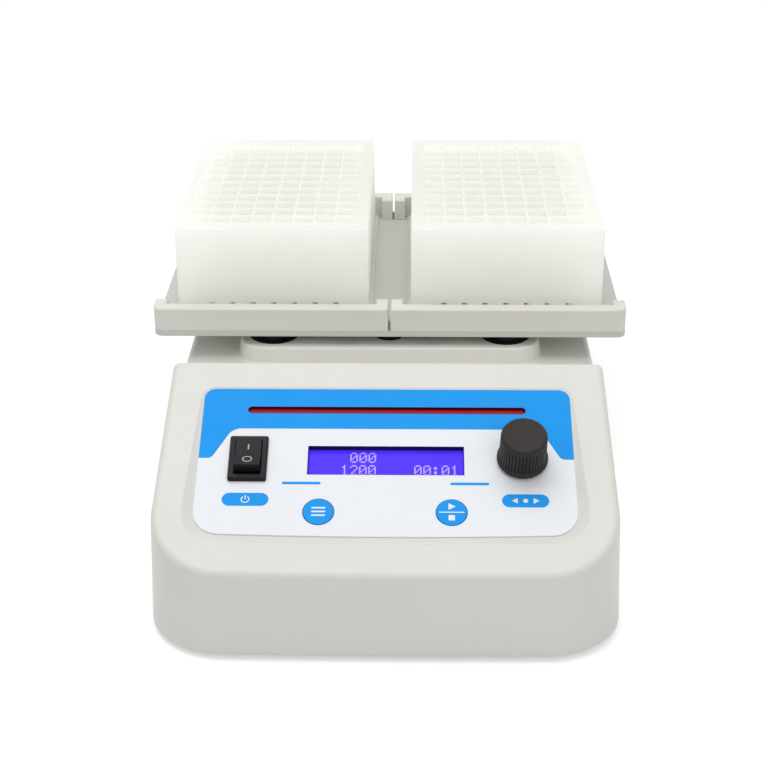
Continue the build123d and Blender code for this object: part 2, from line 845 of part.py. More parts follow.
with BuildPart() as mains_transformer:
    with Locations((power_board_offset + 26, power_y, power_z + board_thickness)):
        Box(transformer_width, 22, transformer_height, align=(Align.CENTER, Align.CENTER, Align.MIN))
    with Locations((power_board_offset + 26, power_y, power_z + board_thickness + 5)):
        Box(transformer_width - 12, 28, transformer_height - 10, align=(Align.CENTER, Align.CENTER, Align.MIN))
save(mains_transformer.part, "mains_transformer")

with BuildPart() as power_capacitors:
    with Locations((power_board_offset - 22, power_y, power_z + board_thickness)):
        with GridLocations(16, 0, 2, 1):
            Cylinder(
                capacitor_diameter / 2, capacitor_height, align=(Align.CENTER, Align.CENTER, Align.MIN)
            )
    chamfer(power_capacitors.edges().group_by(Axis.Z)[-1], length=0.8)
save(power_capacitors.part, "power_capacitors")

# Drive bracket: a bridge of bent sheet that hangs the motor under its top
with BuildPart() as drive_bracket:
    with BuildSketch(Plane.XZ.offset(-(spindle_y + bracket_length / 2))):
        with BuildLine() as half_section:
            Polyline(
                (0, bracket_top),
                (bracket_width / 2, bracket_top),
                (bracket_width / 2, base_top + bracket_sheet),
                (bracket_width / 2 + bracket_foot, base_top + bracket_sheet),
                (bracket_width / 2 + bracket_foot, base_top),
                (bracket_width / 2 - bracket_sheet, base_top),
                (bracket_width / 2 - bracket_sheet, bracket_top - bracket_sheet),
                (0, bracket_top - bracket_sheet),
                close=True,
            )
        make_face()
        mirror(about=Plane.YZ)
    extrude(amount=bracket_length)
    fillet(
        drive_bracket.edges().filter_by(Axis.Y).filter_by(
            lambda edge: abs(abs(edge.center().X) - bracket_width / 2) < 0.1 and edge.center().Z > 20
        ),
        radius=bracket_sheet,
    )
    with BuildSketch(Plane.XY.offset(bracket_top)):
        with Locations((0, spindle_y)):
            Circle(motor_pilot_diameter / 2 + slip)
            with PolarLocations(motor_screw_circle / 2, 4, start_angle=45):
                Circle(screw_diameter / 2 + slip)
    extrude(amount=-bracket_sheet, mode=Mode.SUBTRACT)
    with BuildSketch(Plane.XY.offset(base_top)):
        with Locations((0, spindle_y)):
            with GridLocations(bracket_width + bracket_foot, bracket_length - 16, 2, 2):
                Circle(screw_diameter / 2 + slip)
    extrude(amount=bracket_sheet, mode=Mode.SUBTRACT)
save(drive_bracket.part, "drive_bracket")

with BuildPart() as bracket_screws:
    with Locations((0, spindle_y, base_top + bracket_sheet)):
        with GridLocations(bracket_width + bracket_foot, bracket_length - 16, 2, 2):
            Cylinder(
                screw_head / 2, screw_head_height, align=(Align.CENTER, Align.CENTER, Align.MIN)
            )
            Cylinder(
                screw_diameter / 2, bracket_sheet, align=(Align.CENTER, Align.CENTER, Align.MAX)
            )
save(bracket_screws.part, "bracket_screws")

with BuildPart() as drive_motor:
    with Locations((0, spindle_y, motor_base)):
        Cylinder(motor_diameter / 2, motor_height, align=(Align.CENTER, Align.CENTER, Align.MIN))
    chamfer(drive_motor.edges().group_by(Axis.Z)[0], length=2)
    with Locations((0, spindle_y, bracket_top - bracket_sheet)):
        Cylinder(
            motor_pilot_diameter / 2, motor_pilot_height, align=(Align.CENTER, Align.CENTER, Align.MIN)
        )
    with Locations((0, spindle_y, motor_base + 3)):
        Cylinder(
            motor_shaft_diameter / 2 + slip,
            motor_height,
            align=(Align.CENTER, Align.CENTER, Align.MIN),
            mode=Mode.SUBTRACT,
        )
save(drive_motor.part, "drive_motor")

with BuildPart() as motor_screws:
    with Locations((0, spindle_y, bracket_top)):
        with PolarLocations(motor_screw_circle / 2, 4, start_angle=45):
            Cylinder(2.6, 1.2, align=(Align.CENTER, Align.CENTER, Align.MIN))
            Cylinder(
                screw_diameter / 2, bracket_sheet, align=(Align.CENTER, Align.CENTER, Align.MAX)
            )
save(motor_screws.part, "motor_screws")

# Crank: motor shaft, eccentric hub, counterweight and pin
with BuildPart() as motor_shaft:
    with Locations((0, spindle_y, motor_base + 3 + fit)):
        Cylinder(
            motor_shaft_diameter / 2,
            shaft_top - motor_base - 3 - fit,
            align=(Align.CENTER, Align.CENTER, Align.MIN),
        )
save(motor_shaft.part, "motor_shaft")

with BuildPart() as eccentric_hub:
    with Locations((0, spindle_y, eccentric_base)):
        Cylinder(eccentric_diameter / 2, eccentric_height, align=(Align.CENTER, Align.CENTER, Align.MIN))
    chamfer(eccentric_hub.edges().group_by(Axis.Z)[-1], length=0.6)
    with Locations((0, spindle_y, eccentric_base)):
        Cylinder(
            motor_shaft_diameter / 2 + slip / 2,
            shaft_top - eccentric_base,
            align=(Align.CENTER, Align.CENTER, Align.MIN),
            mode=Mode.SUBTRACT,
        )
save(eccentric_hub.part, "eccentric_hub")

with BuildPart() as counterweight:
    with BuildSketch(Plane.XY.offset(eccentric_base + 1)):
        with Locations((0, spindle_y)):
            Circle(counterweight_radius)
        with Locations((0, spindle_y + counterweight_radius)):
            Rectangle(3 * counterweight_radius, 2 * counterweight_radius, mode=Mode.SUBTRACT)
        with Locations((0, spindle_y)):
            Circle(eccentric_diameter / 2 + 5)
            Circle(eccentric_diameter / 2 + slip / 2, mode=Mode.SUBTRACT)
    extrude(amount=counterweight_height)
save(counterweight.part, "counterweight")

with BuildPart() as crank_pin:
    with Locations((0, drive_y, eccentric_top)):
        Cylinder(
            crank_shoulder_diameter / 2,
            bearing_base - eccentric_top,
            align=(Align.CENTER, Align.CENTER, Align.MIN),
        )
        Cylinder(
            crank_pin_diameter / 2,
            bearing_top - eccentric_top + 0.5,
            align=(Align.CENTER, Align.CENTER, Align.MIN),
        )
    chamfer(crank_pin.edges().group_by(Axis.Z)[-1], length=0.4)
save(crank_pin.part, "crank_pin")


def ring(bore, outside, name):
    """One ring of the platform bearing, with its corners broken."""
    with BuildPart() as race:
        with BuildSketch(Plane.XY.offset(bearing_base)):
            with Locations((0, drive_y)):
                Circle(outside / 2)
                Circle(bore / 2, mode=Mode.SUBTRACT)
        extrude(amount=bearing_height)
        outer = race.edges().filter_by(GeomType.CIRCLE).filter_by(lambda edge: edge.radius > outside / 2 - 0.01)
        chamfer(outer, length=0.3)
    save(race.part, name)


ring(crank_pin_diameter + slip, crank_pin_diameter + slip + 2 * bearing_ring, "bearing_inner_ring")
ring(bearing_outer - 2 * bearing_ring, bearing_outer - slip, "bearing_outer_ring")

# Platform hub: flange under the platform, boss round the bearing
with BuildPart() as platform_hub:
    with BuildSketch(Plane.XZ):
        with BuildLine():
            Polyline(
                (0, platform_bottom),
                (hub_flange_diameter / 2, platform_bottom),
                (hub_flange_diameter / 2, platform_bottom - hub_flange_height),
                (hub_boss_diameter / 2, platform_bottom - hub_flange_height),
                (hub_boss_diameter / 2, bearing_base - 0.5),
                (bearing_outer / 2, bearing_base - 0.5),
                (bearing_outer / 2, bearing_top),
                (bearing_outer / 2 - bearing_ring + 0.6, bearing_top),
                (bearing_outer / 2 - bearing_ring + 0.6, bearing_top + 3),
                (0, bearing_top + 3),
                close=True,
            )
        make_face()
    revolve(axis=Axis.Z)
    with BuildSketch(Plane.XY.offset(platform_bottom)):
        with hub_screw_spots:
            Circle(screw_diameter / 2 + slip)
    extrude(amount=-hub_flange_height, mode=Mode.SUBTRACT)
save(Pos(0, drive_y, 0) * platform_hub.part, "platform_hub")

# Platform plate with its countersunk screws
fence_length = (platform_width - fence_split) / 2
fence_screw_spots = [
    (side * (platform_width / 2 - fence_length / 2 + shift), drive_y + end * (platform_length - fence_depth) / 2)
    for end in (-1, 1)
    for side in (-1, 1)
    for shift in (-fence_length / 3, fence_length / 3)
]
hub_screw_xy = [(spot.position.X, spot.position.Y + drive_y) for spot in hub_screw_spots.locations]
with BuildPart() as platform_plate:
    with BuildSketch(Plane.XY.offset(platform_bottom)):
        with Locations((0, drive_y)):
            RectangleRounded(platform_width, platform_length, platform_corner)
    extrude(amount=platform_thickness)
    with Locations(*[(x, y, platform_top) for x, y in hub_screw_xy]):
        CounterSinkHole(screw_diameter / 2 + slip, screw_head / 2 + slip, platform_thickness, 90)
    with Locations(Plane.XY.offset(platform_bottom).rotated((180, 0, 0))):
        with Locations(*[(x, -y) for x, y in fence_screw_spots]):
            CounterSinkHole(screw_diameter / 2 + slip, screw_head / 2 + slip, platform_thickness, 90)
save(platform_plate.part, "platform_plate")


def flat_head_screws(spots, face_z, down, length, name):
    """Group of countersunk screws whose heads lie flush with a face."""
    head = screw_head / 2 - screw_diameter / 2
    with BuildPart() as screw:
        with BuildSketch(Plane.XZ):
            with BuildLine():
                Polyline(
                    (0, 0),
                    (screw_head / 2, 0),
                    (screw_diameter / 2, down * head),
                    (screw_diameter / 2, down * length),
                    (0, down * length),
                    close=True,
                )
            make_face()
        revolve(axis=Axis.Z)
    save(Compound(children=[Pos(x, y, face_z) * screw.part for x, y in spots]), name)


flat_head_screws(hub_screw_xy, platform_top, -1, platform_thickness + hub_flange_height, "hub_screws")
flat_head_screws(fence_screw_spots, platform_bottom, 1, platform_thickness + 5, "fence_screws")

# Four C-shaped fences, mirrored about the middle of the platform
for side, across in ((-1, "left"), (1, "right")):
    for end, along in ((-1, "front"), (1, "rear")):
        outer_x = side * platform_width / 2
        inner_x = side * fence_split / 2
        edge_y = drive_y + end * platform_length / 2
        with BuildPart() as fence:
            with BuildSketch(Plane.XY.offset(platform_top)):
                with Locations(((outer_x + inner_x) / 2, edge_y - end * fence_depth / 2)):
                    Rectangle(fence_length, fence_depth)
                with Locations(
                    (outer_x - side * fence_return_width / 2, edge_y - end * fence_return_reach / 2),
                    (inner_x + side * fence_return_width / 2, edge_y - end * fence_return_reach / 2),
                ):
                    Rectangle(fence_return_width, fence_return_reach)
            extrude(amount=fence_height)
            uprights = fence.edges().filter_by(Axis.Z)
            outer_corner = uprights.sort_by_distance((outer_x, edge_y, platform_top))[0]
            fillet(outer_corner, radius=platform_corner)
            chamfer(fence.faces().sort_by(Axis.Z)[-1].edges(), length=fence_edge)
            spots = [s for s in fence_screw_spots if s[0] * side > 0 and (s[1] - drive_y) * end > 0]
            with Locations(*[(x, y, platform_top) for x, y in spots]):
                Cylinder(
                    screw_diameter / 2 + slip / 2,
                    5.5,
                    align=(Align.CENTER, Align.CENTER, Align.MIN),
                    mode=Mode.SUBTRACT,
                )
        save(fence.part, f"fence_{along}_{across}")

# Rubber pillars that steady the platform, and the small centre buffers
with BuildPart() as support_pillars:
    with BuildSketch(Plane.XY.offset(pedestal_top - pillar_pocket_depth)):
        with Locations(*pillar_spots):
            Circle(pillar_base_diameter / 2)
    extrude(amount=pillar_pocket_depth)
    with BuildSketch(Plane.XY.offset(pedestal_top)):
        with Locations(*pillar_spots):
            Circle(pillar_neck_diameter / 2)
    extrude(amount=platform_gap)
    with BuildSketch(Plane.XY.offset(pedestal_top - pillar_pocket_depth)):
        with Locations(*pillar_spots):
            Circle(pillar_screw_diameter / 2 + slip)
    extrude(amount=5, mode=Mode.SUBTRACT)
save(support_pillars.part, "support_pillars")

with BuildPart() as pillar_screws:
    with Locations(*[(x, y, deck_height - housing_wall) for x, y in pillar_spots]):
        Cylinder(3.6, 2.2, align=(Align.CENTER, Align.CENTER, Align.MAX))
        Cylinder(
            pillar_screw_diameter / 2,
            housing_wall + pedestal_height - pillar_pocket_depth + 4.5,
            align=(Align.CENTER, Align.CENTER, Align.MIN),
        )
save(pillar_screws.part, "pillar_screws")

with BuildPart() as centre_buffers:
    with BuildSketch(Plane.XY.offset(skin_bottom)):
        with Locations(*buffer_spots):
            Circle(buffer_diameter / 2)
    extrude(amount=housing_wall)
    with BuildSketch(Plane.XY.offset(skin_bottom)):
        with Locations(*buffer_spots):
            Circle(buffer_diameter / 2 + buffer_rim)
    extrude(amount=-buffer_flange)
save(centre_buffers.part, "centre_buffers")


def tapered_wells(width, depth, mode):
    """Grid of square well ends that narrow downwards from the well feet's height."""
    inset = depth * tan(radians(well_taper))
    with Locations((0, 0, well_foot_height)):
        with GridLocations(plate_pitch, plate_pitch, plate_columns, plate_rows):
            Wedge(
                width,
                depth,
                width,
                inset,
                inset,
                width - inset,
                width - inset,
                rotation=(-90, 0, 0),
                align=(Align.CENTER, Align.MIN, Align.CENTER),
                mode=mode,
            )


# Deep-well plate: well block on tapered well feet, thin skirt and footprint flange
block_width = plate_width - 2 * plate_shoulder
block_length = plate_length - 2 * plate_shoulder
with BuildPart() as plate:
    with BuildSketch():
        RectangleRounded(plate_width, plate_length, plate_foot_corner)
    extrude(amount=plate_flange)
    with BuildSketch():
        RectangleRounded(block_width, block_length, plate_foot_corner - plate_shoulder)
    extrude(amount=plate_height)
    with BuildSketch():
        Rectangle(block_width - 2 * plate_skirt_wall, block_length - 2 * plate_skirt_wall)
    extrude(amount=well_foot_height, mode=Mode.SUBTRACT)
    # Small notches in the skirt, cut before the well feet are added
    with BuildSketch(Plane.XZ.offset(-plate_length)):
        with Locations((0, well_foot_height - notch_height / 2)):
            with GridLocations(plate_pitch, 0, plate_columns - 1, 1):
                Rectangle(notch_width, notch_height)
    extrude(amount=2 * plate_length, mode=Mode.SUBTRACT)
    with BuildSketch(Plane.YZ.offset(-plate_width)):
        with Locations((0, well_foot_height - notch_height / 2)):
            with GridLocations(plate_pitch, 0, plate_rows - 1, 1):
                Rectangle(notch_width, notch_height)
    extrude(amount=2 * plate_width, mode=Mode.SUBTRACT)
    tapered_wells(well_foot_width, well_foot_height - well_foot_gap, Mode.ADD)
    with BuildSketch(Plane.XY.offset(plate_height)):
        with GridLocations(plate_pitch, plate_pitch, plate_columns, plate_rows):
            Rectangle(well_width, well_width)
    extrude(amount=-(plate_height - well_foot_height), mode=Mode.SUBTRACT)
    tapered_wells(well_width, well_foot_height - well_foot_gap - well_floor, Mode.SUBTRACT)
save(Pos(-plate_centre, drive_y, platform_top) * plate.part, "microplate_left")
save(Pos(plate_centre, drive_y, platform_top) * plate.part, "microplate_right")
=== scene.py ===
import logging
import math
from dataclasses import dataclass
from enum import Enum
from typing import ClassVar

import bmesh
import bpy
from mathutils import Matrix, Vector


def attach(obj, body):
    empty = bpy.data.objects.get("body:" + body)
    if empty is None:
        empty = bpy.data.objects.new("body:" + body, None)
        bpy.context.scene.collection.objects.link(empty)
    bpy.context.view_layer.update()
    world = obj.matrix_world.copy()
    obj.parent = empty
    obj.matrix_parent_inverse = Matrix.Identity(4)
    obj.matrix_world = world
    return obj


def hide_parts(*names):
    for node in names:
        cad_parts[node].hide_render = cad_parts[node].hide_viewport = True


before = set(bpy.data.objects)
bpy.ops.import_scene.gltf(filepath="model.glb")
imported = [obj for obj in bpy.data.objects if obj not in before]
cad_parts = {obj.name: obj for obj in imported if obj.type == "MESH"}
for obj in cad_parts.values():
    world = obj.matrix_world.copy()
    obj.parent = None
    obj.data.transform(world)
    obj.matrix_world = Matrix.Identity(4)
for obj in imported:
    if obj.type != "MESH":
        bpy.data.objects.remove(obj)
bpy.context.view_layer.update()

LOG = logging.getLogger("shaker")
MM = 0.001

Colour = tuple[float, float, float, float]
Point = tuple[float, float]
Outline = tuple[list[Point], list[float]]

WHITE: Colour = (1.0, 1.0, 1.0, 1.0)

# The panel's own plane: X across, Y up the slope, Z out of the panel
PANEL_SLOPE = math.radians(25.0)
PANEL_MIDDLE = Vector((0.0, -97.965, 57.284)) * MM
PANEL = Matrix.Translation(PANEL_MIDDLE) @ Matrix.Rotation(PANEL_SLOPE, 4, "X")

# Noise seldom leaves this part of 0 to 1, so it is stretched to the full range
NOISE_FLOOR = 0.3
NOISE_CEILING = 0.7
# Cycles per metre of the slow drift in colour and of the patches in gloss
DRIFT_SCALE = 18.0
PATCH_SCALE = 90.0
PATCH_SHARE = 0.12
BEVEL_SAMPLES = 4

WELD_REACH = 0.000002
ROUND_STEPS = 8
ARC_STEPS = 36
# A capsule's rounds stop just short of each other, so that no two points fall together
ROUND_SHARE = 0.999
SIGN_THICKNESS = 0.03


def linear_channel(value: int) -> float:
    """Turns one display channel of 0 to 255 into linear light, by the sRGB curve."""
    part = value / 255.0
    return part / 12.92 if part <= 0.04045 else ((part + 0.055) / 1.055) ** 2.4


def linear(red: int, green: int, blue: int) -> Colour:
    """Turns a display colour of 0 to 255 into the linear colour that the shaders take."""
    return (linear_channel(red), linear_channel(green), linear_channel(blue), 1.0)


def scaled(colour: Colour, factor: float) -> Colour:
    """Makes a linear colour darker or lighter, up to white."""
    return tuple(min(1.0, part * factor) for part in colour[:3]) + (1.0,)


class Side(Enum):
    """Which half of the instrument a doubled part belongs to."""

    LEFT = "left"
    RIGHT = "right"

    @property
    def sign(self) -> int:
        """The direction along X: -1 on the left and 1 on the right."""
        return -1 if self is Side.LEFT else 1


class Sheen(Enum):
    """How strongly the skin of a moulded or coated surface breaks up the light."""

    FINE_GRAIN = 0.05
    GRAIN = 0.12
    COARSE = 0.25


class Tree:
    """A material's node tree with short calls for the nodes that the finishes share."""

    def __init__(self, name: str) -> None:
        """Starts a material with one Principled shader.

        Args:
            name: the material's name.
        """
        self.material = bpy.data.materials.new(name)
        self.material.use_nodes = True
        self.nodes = self.material.node_tree.nodes
        self.links = self.material.node_tree.links
        self.shader = self.nodes["Principled BSDF"]
        self.output = self.nodes["Material Output"]
        self.place = self.nodes.new("ShaderNodeTexCoord")

    def noise(self, scale: float, detail: float = 3.0, roughness: float = 0.55) -> bpy.types.ShaderNode:
        """Adds noise on Object coordinates.

        Args:
            scale: how many cycles it has in a metre.
            detail: the number of its finer layers.
            roughness: how much the finer layers count.

        Returns:
            The noise node.
        """
        node = self.nodes.new("ShaderNodeTexNoise")
        node.inputs["Scale"].default_value = scale
        node.inputs["Detail"].default_value = detail
        node.inputs["Roughness"].default_value = roughness
        self.links.new(self.place.outputs["Object"], node.inputs["Vector"])
        return node

    def spread(self, source: bpy.types.NodeSocket, low: float, high: float) -> bpy.types.NodeSocket:
        """Maps a noise value onto a range.

        Args:
            source: the socket that gives the noise.
            low: the value where the noise is lowest.
            high: the value where the noise is highest.

        Returns:
            The socket of the result.
        """
        node = self.nodes.new("ShaderNodeMapRange")
        node.inputs["From Min"].default_value = NOISE_FLOOR
        node.inputs["From Max"].default_value = NOISE_CEILING
        node.inputs["To Min"].default_value = low
        node.inputs["To Max"].default_value = high
        self.links.new(source, node.inputs["Value"])
        return node.outputs["Result"]

    def blend(self, factor: bpy.types.NodeSocket, first: Colour, second: Colour) -> bpy.types.NodeSocket:
        """Mixes two colours by a value.

        Args:
            factor: the socket that gives the value, 0 to 1.
            first: the colour at 0.
            second: the colour at 1.

        Returns:
            The socket of the mixed colour.
        """
        node = self.nodes.new("ShaderNodeMix")
        node.data_type = "RGBA"
        node.inputs["A"].default_value = first
        node.inputs["B"].default_value = second
        self.links.new(factor, node.inputs["Factor"])
        return node.outputs["Result"]

    def relief(self, height: bpy.types.NodeSocket, strength: float, depth: float, edge: float) -> None:
        """Joins a bump and a soft edge to the shader's normal.

        Args:
            height: the socket that gives the bump's height.
            strength: how much of the bump shows, 0 to 1.
            depth: the height of the bump in metres.
            edge: the radius in metres by which edges look rounded.
        """
        bump = self.nodes.new("ShaderNodeBump")
        bump.inputs["Strength"].default_value = strength
        bump.inputs["Distance"].default_value = depth
        self.links.new(height, bump.inputs["Height"])
        if edge > 0.0:
            bevel = self.nodes.new("ShaderNodeBevel")
            bevel.samples = BEVEL_SAMPLES
            bevel.inputs["Radius"].default_value = edge
            self.links.new(bevel.outputs["Normal"], bump.inputs["Normal"])
        self.links.new(bump.outputs["Normal"], self.shader.inputs["Normal"])

    def mix_shaders(
        self, factor: float | bpy.types.NodeSocket, first: bpy.types.NodeSocket, second: bpy.types.NodeSocket
    ) -> None:
        """Mixes two shaders into the material's surface.

        Args:
            factor: the second one's share, as a number or a socket.
            first: the first shader's socket.
            second: the second shader's socket.
        """
        mix = self.nodes.new("ShaderNodeMixShader")
        if isinstance(factor, float):
            mix.inputs["Fac"].default_value = factor
        else:
            self.links.new(factor, mix.inputs["Fac"])
        self.links.new(first, mix.inputs[1])
        self.links.new(second, mix.inputs[2])
        self.links.new(mix.outputs["Shader"], self.output.inputs["Surface"])


@dataclass(frozen=True)
class Finish:
    """A surface with slow drift in its colour, fine grain and soft edges; lengths in metres."""

    name: str
    colour: tuple[int, int, int]
    roughness: float = 0.5
    metallic: float = 0.0
    drift: float = 0.04
    grain: Sheen = Sheen.FINE_GRAIN
    grain_size: float = 0.0006
    edge: float = 0.0002
    coat: float = 0.0
    shine: float = 0.4

    def build(self) -> bpy.types.Material:
        """Makes the material once.

        Returns:
            The new material, or the one that was made before.
        """
        made = bpy.data.materials.get(self.name)
        if made:
            return made
        tree = Tree(self.name)
        self.paint(tree)
        self.texture(tree)
        return tree.material

    def paint(self, tree: Tree) -> None:
        """Sets colour and gloss, with a slow drift over the surface.

        Args:
            tree: the material's nodes.
        """
        base = linear(*self.colour)
        low, high = scaled(base, 1.0 - self.drift), scaled(base, 1.0 + self.drift)
        slow = tree.spread(tree.noise(DRIFT_SCALE, 4.0).outputs["Fac"], 0.0, 1.0)
        tree.links.new(tree.blend(slow, low, high), tree.shader.inputs["Base Color"])
        span = PATCH_SHARE * self.roughness
        patch = tree.noise(PATCH_SCALE, 5.0)
        rough = tree.spread(patch.outputs["Fac"], self.roughness - span, self.roughness + span)
        tree.links.new(rough, tree.shader.inputs["Roughness"])
        tree.shader.inputs["Metallic"].default_value = self.metallic
        tree.shader.inputs["Specular IOR Level"].default_value = self.shine
        tree.shader.inputs["Coat Weight"].default_value = self.coat

    def texture(self, tree: Tree) -> None:
        """Adds the grain's bump, half as high as a grain is wide."""
        grain = tree.noise(1.0 / self.grain_size, 4.0, 0.6)
        tree.relief(grain.outputs["Fac"], self.grain.value, self.grain_size * 0.5, self.edge)


@dataclass(frozen=True)
class BrushedFinish(Finish):
    """Metal with fine lines drawn along one direction."""

    metallic: float = 1.0
    stretch: tuple[float, float, float] = (1.0, 30.0, 30.0)
    line_scale: float = 120.0
    line_strength: float = 0.25
    line_depth: float = 0.00005

    def texture(self, tree: Tree) -> None:
        """Adds the drawn lines as a bump.

        Args:
            tree: the material's nodes.
        """
        turn = tree.nodes.new("ShaderNodeMapping")
        turn.inputs["Scale"].default_value = self.stretch
        tree.links.new(tree.place.outputs["Object"], turn.inputs["Vector"])
        lines = tree.noise(self.line_scale, 4.0, 0.7)
        tree.links.new(turn.outputs["Vector"], lines.inputs["Vector"])
        tree.relief(lines.outputs["Fac"], self.line_strength, self.line_depth, self.edge)


@dataclass(frozen=True)
class MilkyFinish(Finish):
    """Translucent moulded polypropylene: light passes through its walls, and a faint painted glow stands in
    for the light scattered inside them.
    """

    passing: float = 0.55
    # Strength of the painted glow: an emission that stands in for light scattered through the walls
    painted_glow: float = 0.07
    painted_glow_colour: tuple[int, int, int] = (255, 253, 248)
    passing_colour: tuple[int, int, int] = (253, 253, 251)

    def paint(self, tree: Tree) -> None:
        """Sets a faint painted glow for the light scattered in the plastic, and lets part of the light
        through the wall.

        Args:
            tree: the material's nodes.
        """
        super().paint(tree)
        # Painted glow: a faint emission standing in for light scattered through the plastic
        tree.shader.inputs["Emission Color"].default_value = linear(*self.painted_glow_colour)
        tree.shader.inputs["Emission Strength"].default_value = self.painted_glow
        through = tree.nodes.new("ShaderNodeBsdfTranslucent")
        through.inputs["Color"].default_value = linear(*self.passing_colour)
        tree.mix_shaders(self.passing, tree.shader.outputs["BSDF"], through.outputs["BSDF"])


@dataclass(frozen=True)
class GlowFinish(Finish):
    """A lit surface, such as a display's backlight, that gives off a little of its own light."""

    glow: float = 0.6
    dimming: float = 0.82
    glow_scale: float = 60.0

    def paint(self, tree: Tree) -> None:
        """Sets the colour and its own light, a little uneven as behind a light guide.

        Args:
            tree: the material's nodes.
        """
        super().paint(tree)
        base = linear(*self.colour)
        uneven = tree.spread(tree.noise(self.glow_scale, 2.0).outputs["Fac"], 0.0, 1.0)
        glow = tree.blend(uneven, scaled(base, self.dimming), base)
        tree.links.new(glow, tree.shader.inputs["Emission Color"])
        tree.shader.inputs["Emission Strength"].default_value = self.glow


# Moulded body, feet and rubber
HOUSING_ABS = Finish("housing_abs", (226, 225, 219), 0.42, drift=0.012, grain_size=0.0007)
BASE_ABS = Finish("base_abs", (120, 121, 120), 0.6, grain=Sheen.GRAIN, grain_size=0.0009)
FOOT_RUBBER = Finish("rubber_black", (30, 30, 31), 0.8, grain=Sheen.GRAIN)
PILLAR_RUBBER = Finish("pillar_rubber", (14, 14, 16), 0.55, edge=0.0004)

# Panel, prints and controls
PANEL_FILM = Finish(
    "film_white", (240, 243, 248), 0.45, drift=0.008, grain_size=0.00035, edge=0.0001, shine=0.25
)
PRINT_BLUE = Finish(
    "print_blue", (28, 158, 245), drift=0.02, grain_size=0.00035, edge=0.0, shine=0.12
)
PRINT_WHITE = Finish(
    "print_white", (240, 243, 248), drift=0.01, grain_size=0.00035, edge=0.0, shine=0.2
)
KEY_BLUE = Finish("cap_blue", (28, 158, 245), drift=0.02, grain_size=0.00035, edge=0.0, shine=0.12)
SLOT_RED = Finish("slot_red", (168, 10, 30), 0.35, drift=0.08, edge=0.0001, shine=0.15)
# Painted shade: a dark band for the shadow on the slot window's walls
SLOT_PAINTED_SHADE = Finish("slot_painted_shade", (58, 8, 16), drift=0.1, edge=0.0, shine=0.1)
SWITCH_BLACK = Finish(
    "switch_nylon", (13, 13, 15), 0.42, drift=0.1, grain_size=0.0004, edge=0.00025, shine=0.2
)
MARK_GREY = Finish("mark_grey", (188, 188, 192), 0.55, drift=0.05, edge=0.0)
KNOB_DARK = Finish(
    "knob_dark", (50, 46, 45), 0.45, drift=0.06, grain=Sheen.GRAIN, grain_size=0.00045, shine=0.15
)
LCD_BLUE = GlowFinish("lcd_blue", (72, 44, 238), 0.3, drift=0.03, edge=0.0, shine=0.1, glow=0.5)
LCD_INK = GlowFinish("lcd_ink", (165, 145, 205), 0.3, drift=0.05, edge=0.0, glow=0.5)
LCD_FRAME = Finish("lcd_frame", (18, 18, 24), 0.45, drift=0.1, edge=0.0001)
# Painted shade: a dark navy band for the shadow on the display window's walls
LCD_PAINTED_SHADE = Finish("lcd_painted_shade", (30, 22, 78), drift=0.1, edge=0.0, shine=0.1)
LIGHT_GUIDE = GlowFinish("light_guide", (205, 215, 245), 0.4, glow=0.2)
LAMP_CLEAR = GlowFinish("lamp_clear", (190, 60, 52), 0.3, glow=0.15)

# Platform and plates
PLATFORM_COAT = Finish(
    "platform_coat", (206, 208, 202), 0.45, drift=0.015, grain=Sheen.GRAIN, grain_size=0.0005, edge=0.0003
)
FENCE_COAT = Finish("fence_coat", (228, 227, 219), 0.42, drift=0.015, edge=0.0006)
MILKY_PP = MilkyFinish("milky_pp", (252, 252, 249), 0.38, drift=0.01, grain_size=0.0008, edge=0.0003)

# Metals
ZINC_STEEL = BrushedFinish("zinc_steel", (176, 178, 178), 0.32, edge=0.00015)
SCREW_STEEL = BrushedFinish("screw_steel", (170, 170, 168), 0.3, edge=0.00015)
GROUND_STEEL = BrushedFinish("ground_steel", (192, 193, 196), 0.18, edge=0.0001)
TURNED_ALLOY = BrushedFinish("turned_alloy", (196, 198, 202), 0.35)
WEIGHT_BRASS = BrushedFinish("turned_brass", (190, 160, 92), 0.34)
PIN_METAL = BrushedFinish("pin_metal", (200, 192, 168), 0.25, edge=0.0003)

# Inlet, boards and their parts
INLET_BLACK = Finish(
    "inlet_black", (30, 30, 31), drift=0.08, grain=Sheen.GRAIN, grain_size=0.0005, edge=0.0004
)
BOARD_GREEN = Finish(
    "board_green", (22, 92, 48), 0.35, drift=0.15, grain=Sheen.GRAIN, grain_size=0.0012, coat=0.3
)
CORE_VARNISH = Finish("core_varnish", (92, 80, 56), drift=0.15, grain=Sheen.COARSE, grain_size=0.0007)
SLEEVE_DARK = Finish("sleeve_dark", (28, 32, 62), 0.35, drift=0.08, coat=0.2)


def give_finish(finish: Finish, *names: str) -> None:
    """Gives CAD nodes a finish and leaves their shape alone.

    Args:
        finish: their surface.
        names: the nodes.
    """
    material = finish.build()
    for name in names:
        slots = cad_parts[name].data.materials
        slots.clear()
        slots.append(material)
        LOG.info("dressed %s in %s", name, finish.name)


def add_piece(
    name: str, mesh: bpy.types.Mesh, body: str, finish: Finish, stands_for: str = ""
) -> bpy.types.Object:
    """Puts a finished mesh into the scene on its body.

    Args:
        name: the piece's name.
        mesh: its mesh, in the row frame.
        body: the CAD body that it rides on.
        finish: its surface.
        stands_for: the CAD node that it replaces, if any.

    Returns:
        The new object.
    """
    mesh.materials.clear()
    mesh.materials.append(finish.build())
    piece = bpy.data.objects.new(name, mesh)
    bpy.context.scene.collection.objects.link(piece)
    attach(piece, body)
    if stands_for:
        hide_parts(stands_for)
    LOG.info("built %s on %s", name, body)
    return piece


